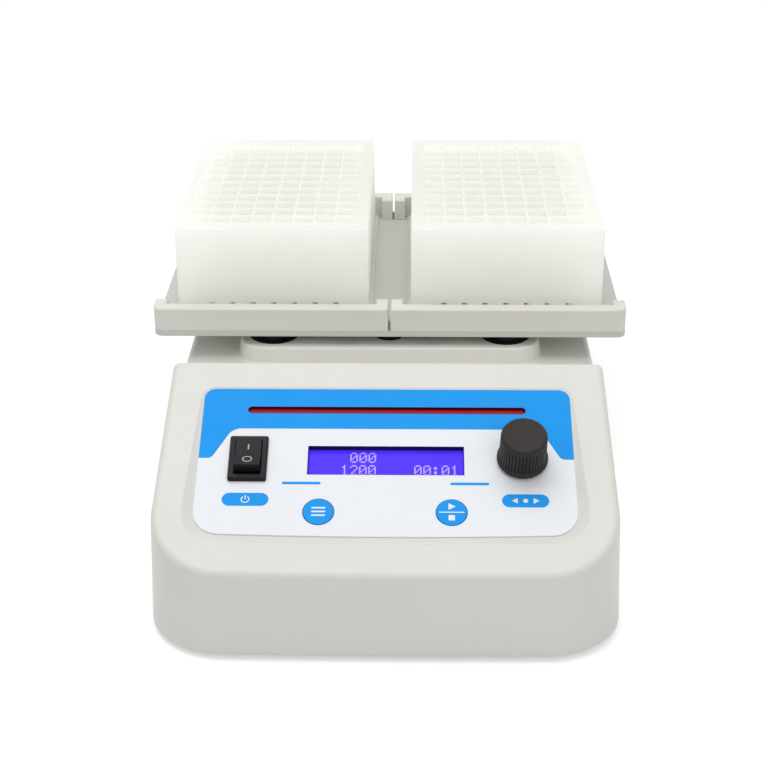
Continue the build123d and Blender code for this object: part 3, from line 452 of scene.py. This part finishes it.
def soften(bm: bmesh.types.BMesh, sharp: float) -> None:
    """Shades faces smoothly and keeps some edges sharp.

    Args:
        bm: the shape.
        sharp: the angle in degrees above which an edge stays sharp.
    """
    limit = math.radians(sharp)
    for face in bm.faces:
        face.smooth = True
    for edge in bm.edges:
        edge.smooth = len(edge.link_faces) == 2 and edge.calc_face_angle(0.0) < limit


def finish_mesh(
    bm: bmesh.types.BMesh, name: str, place: Matrix, sharp: float = 35.0
) -> bpy.types.Mesh:
    """Turns a bmesh into a mesh with outward faces, smooth up to an angle.

    Args:
        bm: the shape, which is freed.
        name: the mesh's name.
        place: where the shape goes in the row frame.
        sharp: the angle in degrees above which an edge stays sharp.

    Returns:
        The mesh.
    """
    bmesh.ops.transform(bm, matrix=place, verts=bm.verts)
    bmesh.ops.recalc_face_normals(bm, faces=bm.faces)
    soften(bm, sharp)
    mesh = bpy.data.meshes.new(name)
    bm.to_mesh(mesh)
    bm.free()
    return mesh


def welded_copy(node: str, sharp: float = 28.0) -> bpy.types.Mesh:
    """Copies a CAD node's mesh, welds its loose triangles and shades it smoothly.

    Args:
        node: the CAD node.
        sharp: the angle in degrees above which an edge stays sharp.

    Returns:
        The copy.
    """
    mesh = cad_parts[node].data.copy()
    bm = bmesh.new()
    bm.from_mesh(mesh)
    bmesh.ops.remove_doubles(bm, verts=bm.verts, dist=WELD_REACH)
    bmesh.ops.dissolve_degenerate(bm, edges=bm.edges, dist=WELD_REACH)
    soften(bm, sharp)
    bm.to_mesh(mesh)
    bm.free()
    custom = mesh.attributes.get("custom_normal")
    if custom:
        mesh.attributes.remove(custom)
    return mesh


def level_normals(piece: bpy.types.Object) -> None:
    """Weights the normals by area, so that flat faces next to rounds stay flat."""
    level = piece.modifiers.new("level", "WEIGHTED_NORMAL")
    level.keep_sharp = True


def smooth_piece(name: str, node: str, body: str, finish: Finish) -> None:
    """Replaces a CAD node by a welded and smoothly shaded copy.

    Args:
        name: the new piece's name.
        node: the CAD node.
        body: the CAD body that it rides on.
        finish: its surface.
    """
    level_normals(add_piece(name, welded_copy(node), body, finish, node))


def rounded_face(bm: bmesh.types.BMesh, points: list[Point], radii: list[float]) -> None:
    """Adds a flat face with rounded corners.

    Args:
        bm: where the face goes.
        points: the corners before rounding, in millimetres.
        radii: how far from each corner its round starts, in millimetres, or 0 for a sharp one.
    """
    corners = [bm.verts.new((x * MM, y * MM, 0.0)) for x, y in points]
    bm.faces.new(corners)
    for corner, radius in zip(corners, radii):
        if radius > 0.0:
            bmesh.ops.bevel(
                bm,
                geom=[corner],
                offset=radius * MM,
                affect="VERTICES",
                segments=ROUND_STEPS,
                profile=0.5,
                material=-1,
            )


def capsule(middle: Point, width: float, height: float) -> Outline:
    """Gives the outline of a bar with round ends.

    Args:
        middle: its middle, in millimetres.
        width: its size along X in millimetres.
        height: its size along Y in millimetres.

    Returns:
        Its corner points and corner radii.
    """
    x, y = middle
    half, low = width / 2, height / 2
    points = [(x - half, y - low), (x + half, y - low), (x + half, y + low), (x - half, y + low)]
    return points, [min(half, low) * ROUND_SHARE] * 4


def arc(bm: bmesh.types.BMesh, radius: float, width: float, start: float, sweep: float) -> None:
    """Adds a flat arc round the origin.

    Args:
        bm: where the arc goes.
        radius: its middle radius in millimetres.
        width: its width in millimetres.
        start: the angle in degrees where it begins.
        sweep: the angle in degrees that it covers.
    """
    turn = math.radians(start)
    reach = ((radius - width / 2) * MM, (radius + width / 2) * MM)
    ends = [bm.verts.new((part * math.cos(turn), part * math.sin(turn), 0.0)) for part in reach]
    edge = bm.edges.new(ends)
    bmesh.ops.spin(
        bm, geom=[edge], cent=(0, 0, 0), axis=(0, 0, 1), angle=math.radians(sweep), steps=ARC_STEPS
    )


def thicken(bm: bmesh.types.BMesh, thick: float) -> None:
    """Gives a flat shape its thickness, upwards.

    Args:
        bm: the shape.
        thick: its thickness in millimetres.
    """
    grown = bmesh.ops.extrude_face_region(bm, geom=list(bm.faces), use_keep_orig=True)
    moved = [item for item in grown["geom"] if isinstance(item, bmesh.types.BMVert)]
    bmesh.ops.translate(bm, verts=moved, vec=(0.0, 0.0, thick * MM))


def printed(name: str, outlines: list[Outline], rise: float, thick: float) -> bpy.types.Mesh:
    """Makes a thin printed shape on the panel.

    Args:
        name: the mesh's name.
        outlines: separate shapes, or a shape and the holes in it, in millimetres.
        rise: height of its underside over the panel, in millimetres.
        thick: its thickness in millimetres.

    Returns:
        The mesh, in the row frame.
    """
    bm = bmesh.new()
    for points, radii in outlines:
        rounded_face(bm, points, radii)
    bmesh.ops.delete(bm, geom=bm.faces, context="FACES_ONLY")
    bmesh.ops.triangle_fill(bm, edges=bm.edges, use_beauty=True, normal=(0.0, 0.0, 1.0))
    thicken(bm, thick)
    return finish_mesh(bm, name, PANEL @ Matrix.Translation((0.0, 0.0, rise * MM)))


@dataclass
class SubAssembly:
    """Parts that belong together: build() makes their new meshes and dress() finishes their CAD nodes."""

    def build(self) -> None:
        """Builds the pieces that the scene makes itself."""

    def dress(self) -> None:
        """Gives the CAD nodes that stay as they are their finishes."""


@dataclass
class Housing(SubAssembly):
    """The moulded body with its base plate, screws and feet."""

    body: str = "base"

    def build(self) -> None:
        """Builds the smooth upper housing and feet."""
        smooth_piece("housing_shell", "upper_housing", self.body, HOUSING_ABS)
        smooth_piece("feet", "rubber_feet", self.body, FOOT_RUBBER)

    def dress(self) -> None:
        """Dresses the underside."""
        give_finish(BASE_ABS, "base_plate")
        give_finish(SCREW_STEEL, "base_screws")


@dataclass
class FrontPanel(SubAssembly):
    """The printed film with its blue band, lines and label fields; sizes in millimetres."""

    body: str = "base"
    half_width: float = 72.8
    half_length: float = 35.15
    top_corner: float = 4.5
    band_inset: float = 0.06
    band_low: float = 15.25
    band_side_low: float = 0.85
    band_shoulder: float = 60.3
    band_shoulder_round: float = 3.2
    band_ear: float = 67.8
    band_ear_round: float = 1.4
    slot_rise: float = 24.5
    slot_width: float = 110.0
    slot_height: float = 3.4
    rule_offset: float = 32.25
    rule_rise: float = -10.85
    rule_width: float = 14.9
    rule_height: float = 1.2
    field_offset: float = 53.3
    field_rise: float = -18.55
    field_width: float = 17.9
    field_height: float = 6.0
    ring_radius: float = 1.45
    ring_start: float = 125.0
    ring_sweep: float = 290.0
    stroke_width: float = 0.4
    stroke_length: float = 2.0
    arrow_tip: float = 5.2
    arrow_back: float = 3.0
    arrow_half: float = 1.3
    arrow_round: float = 0.2
    dot: float = 1.9
    film: float = 0.04

    def build(self) -> None:
        """Lays the prints on the film."""
        self.band()
        for name, offset, rise, width, height in (
            ("panel_rule", self.rule_offset, self.rule_rise, self.rule_width, self.rule_height),
            ("panel_field", self.field_offset, self.field_rise, self.field_width, self.field_height),
        ):
            for side in Side:
                bar = capsule((side.sign * offset, rise), width, height)
                self.print_blue(f"{name}_{side.value}", bar)
        self.power_sign()
        self.turn_sign()

    def dress(self) -> None:
        """Dresses the film itself."""
        give_finish(PANEL_FILM, "front_panel")

    def band(self) -> None:
        """Prints the blue band round the top, with its hole for the slot window."""
        wide = self.half_width - self.band_inset
        top = self.half_length - self.band_inset
        points = [
            (-wide, self.band_side_low),
            (-self.band_ear, self.band_side_low),
            (-self.band_shoulder, self.band_low),
            (self.band_shoulder, self.band_low),
            (self.band_ear, self.band_side_low),
            (wide, self.band_side_low),
            (wide, top),
            (-wide, top),
        ]
        ear, shoulder, corner = self.band_ear_round, self.band_shoulder_round, self.top_corner
        radii = [0.0, ear, shoulder, shoulder, ear, 0.0, corner, corner]
        slot = capsule((0.0, self.slot_rise), self.slot_width, self.slot_height)
        self.print_blue("panel_band", (points, radii), slot)

    def print_blue(self, name: str, *outlines: Outline) -> None:
        """Prints a blue shape on the film.

        Args:
            name: the piece's name.
            outlines: its outside, then the holes in it.
        """
        mesh = printed(name, list(outlines), 0.0, self.film)
        add_piece(name, mesh, self.body, PRINT_BLUE)

    def power_sign(self) -> None:
        """Prints a plain power symbol in the left field: an open ring with a stroke."""
        bm = bmesh.new()
        arc(bm, self.ring_radius, self.stroke_width, self.ring_start, self.ring_sweep)
        rounded_face(bm, *capsule((0.0, self.stroke_length / 2), self.stroke_width, self.stroke_length))
        self.sign(bm, "panel_power_sign", Side.LEFT)

    def turn_sign(self) -> None:
        """Prints a plain turn symbol in the right field: an arrow each way and a dot between them."""
        bm = bmesh.new()
        for side in Side:
            way = side.sign
            tip, back = way * self.arrow_tip, way * self.arrow_back
            arrow = [(tip, 0.0), (back, -self.arrow_half), (back, self.arrow_half)]
            rounded_face(bm, arrow[::way], [self.arrow_round] * 3)
        rounded_face(bm, *capsule((0.0, 0.0), self.dot, self.dot))
        self.sign(bm, "panel_turn_sign", Side.RIGHT)

    def sign(self, bm: bmesh.types.BMesh, name: str, side: Side) -> None:
        """Lays a flat white sign on a label field.

        Args:
            bm: the flat sign, drawn round the origin.
            name: the piece's name.
            side: which of the two fields.
        """
        thicken(bm, self.film)
        place = (side.sign * self.field_offset * MM, self.field_rise * MM, self.film * MM)
        mesh = finish_mesh(bm, name, PANEL @ Matrix.Translation(place))
        add_piece(name, mesh, self.body, PRINT_WHITE)


@dataclass
class SlotWindow(SubAssembly):
    """The long dark red window over the indicator lamps; sizes in millimetres."""

    body: str = "base"
    rise: float = 24.5
    width: float = 110.0
    height: float = 3.4
    sink: float = 1.2
    # Width of the painted shade band on the slot's walls
    edge: float = 0.2
    slip: float = 0.02

    def build(self) -> None:
        """Lines the slot's walls with painted shade: a dark band where the walls lie in shadow."""
        middle = (0.0, self.rise)
        outside = capsule(middle, self.width - self.slip, self.height - self.slip)
        inside = capsule(middle, self.width - 2 * self.edge, self.height - 2 * self.edge)
        mesh = printed("slot_painted_shade", [outside, inside], self.slip - self.sink, self.sink - 2 * self.slip)
        add_piece("slot_painted_shade", mesh, self.body, SLOT_PAINTED_SHADE)

    def dress(self) -> None:
        """Dresses the window and the lamps behind it."""
        give_finish(SLOT_RED, "slot_lens")
        give_finish(LAMP_CLEAR, "indicator_lamps")


@dataclass
class Display(SubAssembly):
    """The character display behind its window, with plain numbers on it; sizes in millimetres."""

    body: str = "base"
    cell_pitch: float = 3.55
    row_pitch: float = 5.95
    dot: float = 0.55
    dot_gap: float = 0.06
    dot_thickness: float = 0.03
    dot_rise: float = 0.02
    dot_pitch_x: float = 0.6
    dot_pitch_y: float = 0.7
    columns: int = 16
    dots_across: int = 5
    dots_up: int = 7
    face_depth: float = 2.4
    glass_depth: float = 3.6
    width: float = 60.6
    height: float = 13.7
    # Width of the painted shade band on the window's walls
    lining: float = 0.2
    filter_lap: float = 0.6
    filter_gap: float = 0.05
    slip: float = 0.02

    ROWS: ClassVar[tuple[str, ...]] = ("    000         ", "   1200    00:01")
    GLYPHS: ClassVar[dict[str, tuple[str, ...]]] = {
        "0": ("01110", "10001", "10011", "10101", "11001", "10001", "01110"),
        "1": ("00100", "01100", "00100", "00100", "00100", "00100", "01110"),
        "2": ("01110", "10001", "00001", "00010", "00100", "01000", "11111"),
        ":": ("00000", "01100", "01100", "00000", "01100", "01100", "00000"),
    }

    def build(self) -> None:
        """Builds the filter, the painted shade on the window's walls and the numbers."""
        self.filter()
        self.shade_walls()
        self.numbers()

    def dress(self) -> None:
        """Dresses the module and the boards behind the panel."""
        give_finish(LCD_FRAME, "display_frame")
        give_finish(LCD_BLUE, "display_glass")
        give_finish(LIGHT_GUIDE, "display_backlight")
        give_finish(BOARD_GREEN, "display_board", "control_board")
        give_finish(SCREW_STEEL, "board_screws")

    def box(self, grow: float) -> Outline:
        """Gives the window's outline, wider and higher by an amount."""
        half, low = (self.width + grow) / 2, (self.height + grow) / 2
        return [(-half, -low), (half, -low), (half, low), (-half, low)], [0.0] * 4

    def filter(self) -> None:
        """Adds the blue front filter that lies on the glass and fills the window."""
        outline = self.box(self.filter_lap)
        thick = self.glass_depth - self.face_depth - self.filter_gap
        mesh = printed("display_filter", [outline], self.filter_gap - self.glass_depth, thick)
        add_piece("display_filter", mesh, self.body, LCD_BLUE)

    def shade_walls(self) -> None:
        """Lines the window's walls with painted shade: a dark band where the walls lie in shadow."""
        outlines = [self.box(-self.slip), self.box(-2 * self.lining)]
        thick = self.face_depth - 2 * self.slip
        mesh = printed("display_painted_shade", outlines, self.slip - self.face_depth, thick)
        add_piece("display_painted_shade", mesh, self.body, LCD_PAINTED_SHADE)

    def numbers(self) -> None:
        """Writes both rows as dots, one small tile for each lit dot."""
        bm = bmesh.new()
        margin = (self.cell_pitch - self.dots_across * self.dot_pitch_x) / 2
        left = margin - self.columns * self.cell_pitch / 2
        for row, text in enumerate(self.ROWS):
            middle = self.row_pitch * (0.5 - row)
            top = middle + self.dots_up * self.dot_pitch_y / 2
            for column, sign in enumerate(text):
                self.glyph(bm, sign, left + column * self.cell_pitch, top)
        place = PANEL @ Matrix.Translation((0.0, 0.0, -self.face_depth * MM))
        mesh = finish_mesh(bm, "display_digits", place)
        add_piece("display_digits", mesh, self.body, LCD_INK)

    def glyph(self, bm: bmesh.types.BMesh, sign: str, left: float, top: float) -> None:
        """Adds the lit dots of one sign.

        Args:
            bm: where they go.
            sign: the sign, or a space, which has none.
            left: the left edge of its cell.
            top: the top edge of its cell.
        """
        size = Matrix.Diagonal(
            (self.dot * MM, (self.dot_pitch_y - self.dot_gap) * MM, self.dot_thickness * MM, 1.0)
        )
        for line, bits in enumerate(self.GLYPHS.get(sign, ())):
            for cell, bit in enumerate(bits):
                if bit == "1":
                    x = left + (cell + 0.5) * self.dot_pitch_x
                    y = top - (line + 0.5) * self.dot_pitch_y
                    place = Matrix.Translation((x * MM, y * MM, self.dot_rise * MM))
                    bmesh.ops.create_cube(bm, size=1.0, matrix=place @ size)


@dataclass
class PowerSwitch(SubAssembly):
    """The black rocker switch with its plain marks; sizes in millimetres."""

    body: str = "base"
    lever_body: str = "rocker"
    middle: Point = (-53.3, 0.2)
    swing: float = 12.0
    waist: float = 2.8
    crown: float = 3.9
    lever_half: float = 7.225
    stroke_width: float = 0.5
    stroke_length: float = 2.6
    stroke_place: float = 3.6
    ring_radius: float = 1.7
    ring_width: float = 0.45
    ring_place: float = -3.4
    ring_sweep: float = 350.0

    def build(self) -> None:
        """Builds the frame, the lever and the marks on it."""
        smooth_piece("switch_bezel", "switch_frame", self.body, SWITCH_BLACK)
        smooth_piece("switch_lever", "switch_rocker", self.lever_body, SWITCH_BLACK)
        stroke = bmesh.new()
        rounded_face(stroke, *capsule((0.0, 0.0), self.stroke_width, self.stroke_length))
        self.mark(stroke, "switch_stroke", self.stroke_place)
        ring = bmesh.new()
        arc(ring, self.ring_radius, self.ring_width, 0.0, self.ring_sweep)
        self.mark(ring, "switch_ring", self.ring_place)

    def on_lever(self, along: float) -> Matrix:
        """Finds the place of a mark on the lever's face.

        Args:
            along: its distance from the pivot, up the panel.

        Returns:
            The place, in the row frame.
        """
        rise = (self.crown - self.waist) / self.lever_half
        lean = math.copysign(math.atan(rise), along)
        height = self.waist + abs(along) * rise
        pivot = PANEL @ Matrix.Translation((self.middle[0] * MM, self.middle[1] * MM, 0.0))
        pressed = pivot @ Matrix.Rotation(-math.radians(self.swing), 4, "X")
        return pressed @ Matrix.Translation((0.0, along * MM, height * MM)) @ Matrix.Rotation(lean, 4, "X")

    def mark(self, bm: bmesh.types.BMesh, name: str, along: float) -> None:
        """Lays a flat mark on the lever.

        Args:
            bm: the mark, drawn round the origin.
            name: the piece's name.
            along: its distance from the pivot, up the panel.
        """
        thicken(bm, SIGN_THICKNESS)
        mesh = finish_mesh(bm, name, self.on_lever(along))
        add_piece(name, mesh, self.lever_body, MARK_GREY)


@dataclass
class Keys(SubAssembly):
    """The two round keys with plain symbols; sizes in millimetres."""

    offset: float = 25.2
    rise: float = -24.1
    proud: float = 0.25
    bar_length: float = 5.4
    bar_width: float = 0.7
    bar_pitch: float = 1.7
    triangle_base: float = 3.0
    triangle_height: float = 2.7
    triangle_rise: float = 2.6
    square: float = 2.4
    square_rise: float = -2.5
    line_length: float = 9.6
    line_width: float = 0.45
    corner: float = 0.15

    def build(self) -> None:
        """Prints the symbols on the caps."""
        self.list_sign()
        self.run_sign()

    def dress(self) -> None:
        """Dresses the caps and their switches."""
        give_finish(KEY_BLUE, "select_key", "start_stop_key")
        give_finish(INLET_BLACK, "tact_switches")

    def list_sign(self) -> None:
        """Prints three short bars on the left key."""
        rises = [self.rise + step * self.bar_pitch for step in (-1, 0, 1)]
        bars = [capsule((-self.offset, rise), self.bar_length, self.bar_width) for rise in rises]
        mesh = printed("key_list_sign", bars, self.proud, SIGN_THICKNESS)
        add_piece("key_list_sign", mesh, "select_key", PRINT_WHITE)

    def run_sign(self) -> None:
        """Prints a triangle, a line and a square on the right key."""
        x, y, half = self.offset, self.rise, self.square / 2
        left, tip = x - half, x - half + self.triangle_height
        middle = y + self.triangle_rise
        foot, crest = middle - self.triangle_base / 2, middle + self.triangle_base / 2
        triangle = [(left, foot), (tip, middle), (left, crest)]
        low, high = y + self.square_rise - half, y + self.square_rise + half
        square = [(left, low), (x + half, low), (x + half, high), (left, high)]
        outlines = [
            (triangle, [self.corner] * 3),
            capsule((x, y), self.line_length, self.line_width),
            (square, [self.corner] * 4),
        ]
        mesh = printed("key_run_sign", outlines, self.proud, SIGN_THICKNESS)
        add_piece("key_run_sign", mesh, "start_stop_key", PRINT_WHITE)


@dataclass
class ControlKnob(SubAssembly):
    """The fluted knob on the push encoder; sizes in millimetres."""

    body: str = "knob"
    middle: Point = (52.7, 0.5)
    gap: float = 1.2
    height: float = 15.0
    flange_radius: float = 9.9
    flange_height: float = 1.1
    flange_round: float = 0.35
    cove: float = 0.45
    cove_height: float = 1.7
    skirt_radius: float = 9.15
    skirt_height: float = 1.95
    skirt_step: float = 0.15
    top_radius: float = 8.95
    face_radius: float = 7.85
    shoulder: float = 2.4
    rim_drop: float = 1.15
    rim_step: float = 0.2
    rim_lean: float = 0.12
    face_round: float = 0.15
    face_drop: float = 0.1
    hollow_radius: float = 6.4
    flutes: int = 42
    flute_steps: int = 4
    flute_depth: float = 0.45
    weld: float = 0.001
    sharp: float = 50.0

    def build(self) -> None:
        """Builds the knob."""
        knob = add_piece("control_knob", self.turned(), self.body, KNOB_DARK, "knob")
        level_normals(knob)

    def dress(self) -> None:
        """Dresses the encoder under the knob."""
        give_finish(ZINC_STEEL, "encoder_body", "encoder_nut", "encoder_shaft")
        give_finish(INLET_BLACK, "encoder_plunger")

    def profile(self) -> list[Point]:
        """Gives the knob's half section.

        Returns:
            Radius and height of each point, from the hollow's rim round to the face.
        """
        low, top = self.gap, self.gap + self.height
        return [
            (self.hollow_radius, low),
            (self.flange_radius - self.flange_round, low),
            (self.flange_radius, low + self.flange_round),
            (self.flange_radius, low + self.flange_height),
            (self.flange_radius - self.cove, low + self.cove_height),
            (self.skirt_radius, low + self.skirt_height),
            (self.skirt_radius, low + self.skirt_height + self.skirt_step),
            (self.top_radius, top - self.shoulder - self.skirt_step),
            (self.top_radius, top - self.shoulder),
            (self.top_radius, top - self.rim_drop),
            (self.top_radius - self.rim_lean, top - self.rim_drop + self.rim_step),
            (self.face_radius + self.face_round, top - self.face_drop),
            (self.face_radius, top),
        ]

    def turned(self) -> bpy.types.Mesh:
        """Spins the half section and draws the flutes into its side.

        Returns:
            The knob's mesh, in the row frame.
        """
        bm = bmesh.new()
        verts = [bm.verts.new((radius * MM, 0.0, height * MM)) for radius, height in self.profile()]
        bmesh.ops.spin(
            bm,
            geom=[bm.edges.new(pair) for pair in zip(verts, verts[1:])],
            cent=(0, 0, 0),
            axis=(0, 0, 1),
            angle=2 * math.pi,
            steps=self.flutes * self.flute_steps,
            use_merge=True,
        )
        bmesh.ops.remove_doubles(bm, verts=bm.verts, dist=self.weld * MM)
        self.flute(bm)
        rim = [edge for edge in bm.edges if edge.is_boundary]
        bmesh.ops.holes_fill(bm, edges=rim, sides=0)
        place = PANEL @ Matrix.Translation((self.middle[0] * MM, self.middle[1] * MM, 0.0))
        return finish_mesh(bm, "control_knob", place, self.sharp)

    def flute(self, bm: bmesh.types.BMesh) -> None:
        """Pushes every flute's middle line inwards, between the skirt and the shoulder.

        Args:
            bm: the spun knob.
        """
        low = self.gap + self.skirt_height + self.skirt_step / 2
        high = self.gap + self.height - self.shoulder - self.skirt_step / 2
        for vert in bm.verts:
            radius = math.hypot(vert.co.x, vert.co.y)
            if low * MM <= vert.co.z <= high * MM and radius > self.hollow_radius * MM:
                turn = math.atan2(vert.co.y, vert.co.x) * self.flutes
                inward = 1.0 - self.flute_depth * MM / radius * max(0.0, math.cos(turn))
                vert.co.x *= inward
                vert.co.y *= inward


@dataclass
class Platform(SubAssembly):
    """The orbiting plate with its fences, screws and hub."""

    body: str = "platform"

    def build(self) -> None:
        """Builds the smooth plate and fences."""
        smooth_piece("platform_tray", "platform_plate", self.body, PLATFORM_COAT)
        for along in ("front", "rear"):
            for side in Side:
                node = f"fence_{along}_{side.value}"
                smooth_piece(f"{along}_fence_{side.value}", node, self.body, FENCE_COAT)

    def dress(self) -> None:
        """Dresses what holds the plate and the fences."""
        give_finish(TURNED_ALLOY, "platform_hub")
        give_finish(SCREW_STEEL, "hub_screws", "fence_screws")


@dataclass
class Suspension(SubAssembly):
    """The rubber pillars under the platform and the small centre buffers."""

    body: str = "base"

    def build(self) -> None:
        """Builds the smooth pillars and buffers."""
        smooth_piece("pillars", "support_pillars", self.body, PILLAR_RUBBER)
        smooth_piece("buffers", "centre_buffers", self.body, PILLAR_RUBBER)

    def dress(self) -> None:
        """Dresses the screws in the pillars."""
        give_finish(SCREW_STEEL, "pillar_screws")


@dataclass
class DeepWellPlate(SubAssembly):
    """One deep-well plate of milky plastic."""

    side: Side = Side.LEFT

    def build(self) -> None:
        """Builds the smooth plate."""
        name = self.side.value
        smooth_piece(
            f"deep_well_plate_{name}", f"microplate_{name}", f"{name}_plate", MILKY_PP
        )


@dataclass
class DriveUnit(SubAssembly):
    """Motor, crank and bearing inside the housing."""

    def dress(self) -> None:
        """Dresses the drive's parts."""
        give_finish(ZINC_STEEL, "drive_bracket", "drive_motor")
        give_finish(SCREW_STEEL, "bracket_screws", "motor_screws")
        give_finish(GROUND_STEEL, "motor_shaft", "crank_pin", "bearing_inner_ring", "bearing_outer_ring")
        give_finish(TURNED_ALLOY, "eccentric_hub")
        give_finish(WEIGHT_BRASS, "counterweight")


@dataclass
class PowerEntry(SubAssembly):
    """The rear inlet with its drawer, and the power board."""

    def dress(self) -> None:
        """Dresses the inlet, the drawer and the board's parts."""
        give_finish(INLET_BLACK, "power_inlet", "fuse_drawer")
        give_finish(PIN_METAL, "inlet_pins")
        give_finish(BOARD_GREEN, "power_board")
        give_finish(SCREW_STEEL, "power_board_screws")
        give_finish(CORE_VARNISH, "mains_transformer")
        give_finish(SLEEVE_DARK, "power_capacitors")


@dataclass(frozen=True)
class Softbox:
    """A square lamp that faces the object; lengths in metres, power in watts."""

    name: str
    place: tuple[float, float, float]
    size: float
    power: float
    target: tuple[float, float, float] = (0.0, 0.0, 0.05)

    def build(self) -> None:
        """Hangs the lamp and turns it to the object."""
        data = bpy.data.lights.new(self.name, "AREA")
        data.shape = "SQUARE"
        data.size = self.size
        data.energy = self.power
        lamp = bpy.data.objects.new(self.name, data)
        aim = Vector(self.target) - Vector(self.place)
        turn = aim.to_track_quat("-Z", "Y").to_matrix().to_4x4()
        lamp.matrix_world = Matrix.Translation(self.place) @ turn
        bpy.context.scene.collection.objects.link(lamp)


@dataclass
class Studio:
    """Camera, lamps, world and the plain floor; lengths in metres, angles in degrees."""

    focal_pixels: float = 1630.0
    image_pixels: float = 768.0
    sensor_millimetres: float = 36.0
    near: float = 0.01
    pitch: float = 26.3
    yaw: float = -1.2
    roll: float = -0.28
    eye: tuple[float, float, float] = (0.011, -0.650, 0.3632)
    world_light: float = 0.46
    floor_half: float = 6.0
    floor_colour: Colour = (0.86, 0.86, 0.86, 1.0)
    floor_roughness: float = 0.9
    floor_lift: float = 0.42
    lamps: tuple[Softbox, ...] = (
        Softbox("top_softbox", (-0.15, 0.05, 1.2), 1.1, 7.5),
        Softbox("front_softbox", (0.35, -1.1, 0.9), 0.8, 2.8),
    )

    def build(self) -> None:
        """Sets up the camera, the light and the floor."""
        self.camera()
        self.world()
        for lamp in self.lamps:
            lamp.build()
        self.floor()
        bpy.context.scene.view_settings.view_transform = "Standard"

    def camera(self) -> None:
        """Sets the camera at the photograph's place."""
        pitch, yaw, roll = (math.radians(angle) for angle in (self.pitch, self.yaw, self.roll))
        ahead = math.cos(pitch)
        forward = Vector((math.sin(yaw) * ahead, math.cos(yaw) * ahead, -math.sin(pitch)))
        level = Vector((math.cos(yaw), -math.sin(yaw), 0.0))
        upward = level.cross(forward)
        right = math.cos(roll) * level + math.sin(roll) * upward
        up = -math.sin(roll) * level + math.cos(roll) * upward
        lens = bpy.data.cameras.new("camera")
        lens.sensor_width = self.sensor_millimetres
        lens.sensor_fit = "HORIZONTAL"
        lens.lens = self.focal_pixels / self.image_pixels * lens.sensor_width
        lens.clip_start = self.near
        camera = bpy.data.objects.new("camera", lens)
        turn = Matrix((right, up, -forward)).transposed().to_4x4()
        camera.matrix_world = Matrix.Translation(self.eye) @ turn
        bpy.context.scene.collection.objects.link(camera)
        bpy.context.scene.camera = camera

    def world(self) -> None:
        """Gives soft light all round, and plain white where the camera or a reflection sees it."""
        world = bpy.data.worlds.new("studio")
        bpy.context.scene.world = world
        world.use_nodes = True
        nodes, links = world.node_tree.nodes, world.node_tree.links
        nodes.clear()
        out = nodes.new("ShaderNodeOutputWorld")
        mix = nodes.new("ShaderNodeMixShader")
        links.new(self.seen(nodes, links), mix.inputs["Fac"])
        for place, strength in ((1, self.world_light), (2, 1.0)):
            light = nodes.new("ShaderNodeBackground")
            light.inputs["Color"].default_value = WHITE
            light.inputs["Strength"].default_value = strength
            links.new(light.outputs["Background"], mix.inputs[place])
        links.new(mix.outputs["Shader"], out.inputs["Surface"])

    def seen(self, nodes: bpy.types.Nodes, links: bpy.types.NodeLinks) -> bpy.types.NodeSocket:
        """Tests whether a ray comes from the camera, a reflection or a clear part.

        Args:
            nodes: the nodes of the tree that needs the test.
            links: the tree's links.

        Returns:
            The socket of the result, 1 where it does.
        """
        path = nodes.new("ShaderNodeLightPath")
        result = path.outputs["Is Camera Ray"]
        for kind in ("Is Glossy Ray", "Is Transmission Ray"):
            either = nodes.new("ShaderNodeMath")
            either.operation = "MAXIMUM"
            links.new(result, either.inputs[0])
            links.new(path.outputs[kind], either.inputs[1])
            result = either.outputs["Value"]
        return result

    def floor(self) -> None:
        """Lays the plain pale floor under the feet."""
        bm = bmesh.new()
        bmesh.ops.create_grid(bm, x_segments=1, y_segments=1, size=self.floor_half)
        mesh = bpy.data.meshes.new("floor")
        bm.to_mesh(mesh)
        bm.free()
        floor = bpy.data.objects.new("floor", mesh)
        bpy.context.scene.collection.objects.link(floor)
        tree = Tree("floor_white")
        tree.shader.inputs["Base Color"].default_value = self.floor_colour
        tree.shader.inputs["Roughness"].default_value = self.floor_roughness
        tree.shader.inputs["Specular IOR Level"].default_value = 0.0
        self.whiten(tree)
        mesh.materials.append(tree.material)

    def whiten(self, tree: Tree) -> None:
        """Lifts the floor to white where the camera sees it, and keeps the object's shadow on it.

        Args:
            tree: the floor's nodes.
        """
        lift = tree.nodes.new("ShaderNodeEmission")
        lift.inputs["Strength"].default_value = self.floor_lift
        both = tree.nodes.new("ShaderNodeAddShader")
        tree.links.new(tree.shader.outputs["BSDF"], both.inputs[0])
        tree.links.new(lift.outputs["Emission"], both.inputs[1])
        seen = self.seen(tree.nodes, tree.links)
        tree.mix_shaders(seen, tree.shader.outputs["BSDF"], both.outputs["Shader"])


def main() -> None:
    """Builds the studio and every sub-assembly in order."""
    logging.basicConfig(level=logging.INFO)
    Studio().build()
    parts = [
        Housing(),
        FrontPanel(),
        SlotWindow(),
        Display(),
        PowerSwitch(),
        Keys(),
        ControlKnob(),
        Platform(),
        Suspension(),
        DeepWellPlate(Side.LEFT),
        DeepWellPlate(Side.RIGHT),
        DriveUnit(),
        PowerEntry(),
    ]
    for part in parts:
        part.build()
        part.dress()
        LOG.info("finished %s", type(part).__name__)


if __name__ == "__main__":
    main()
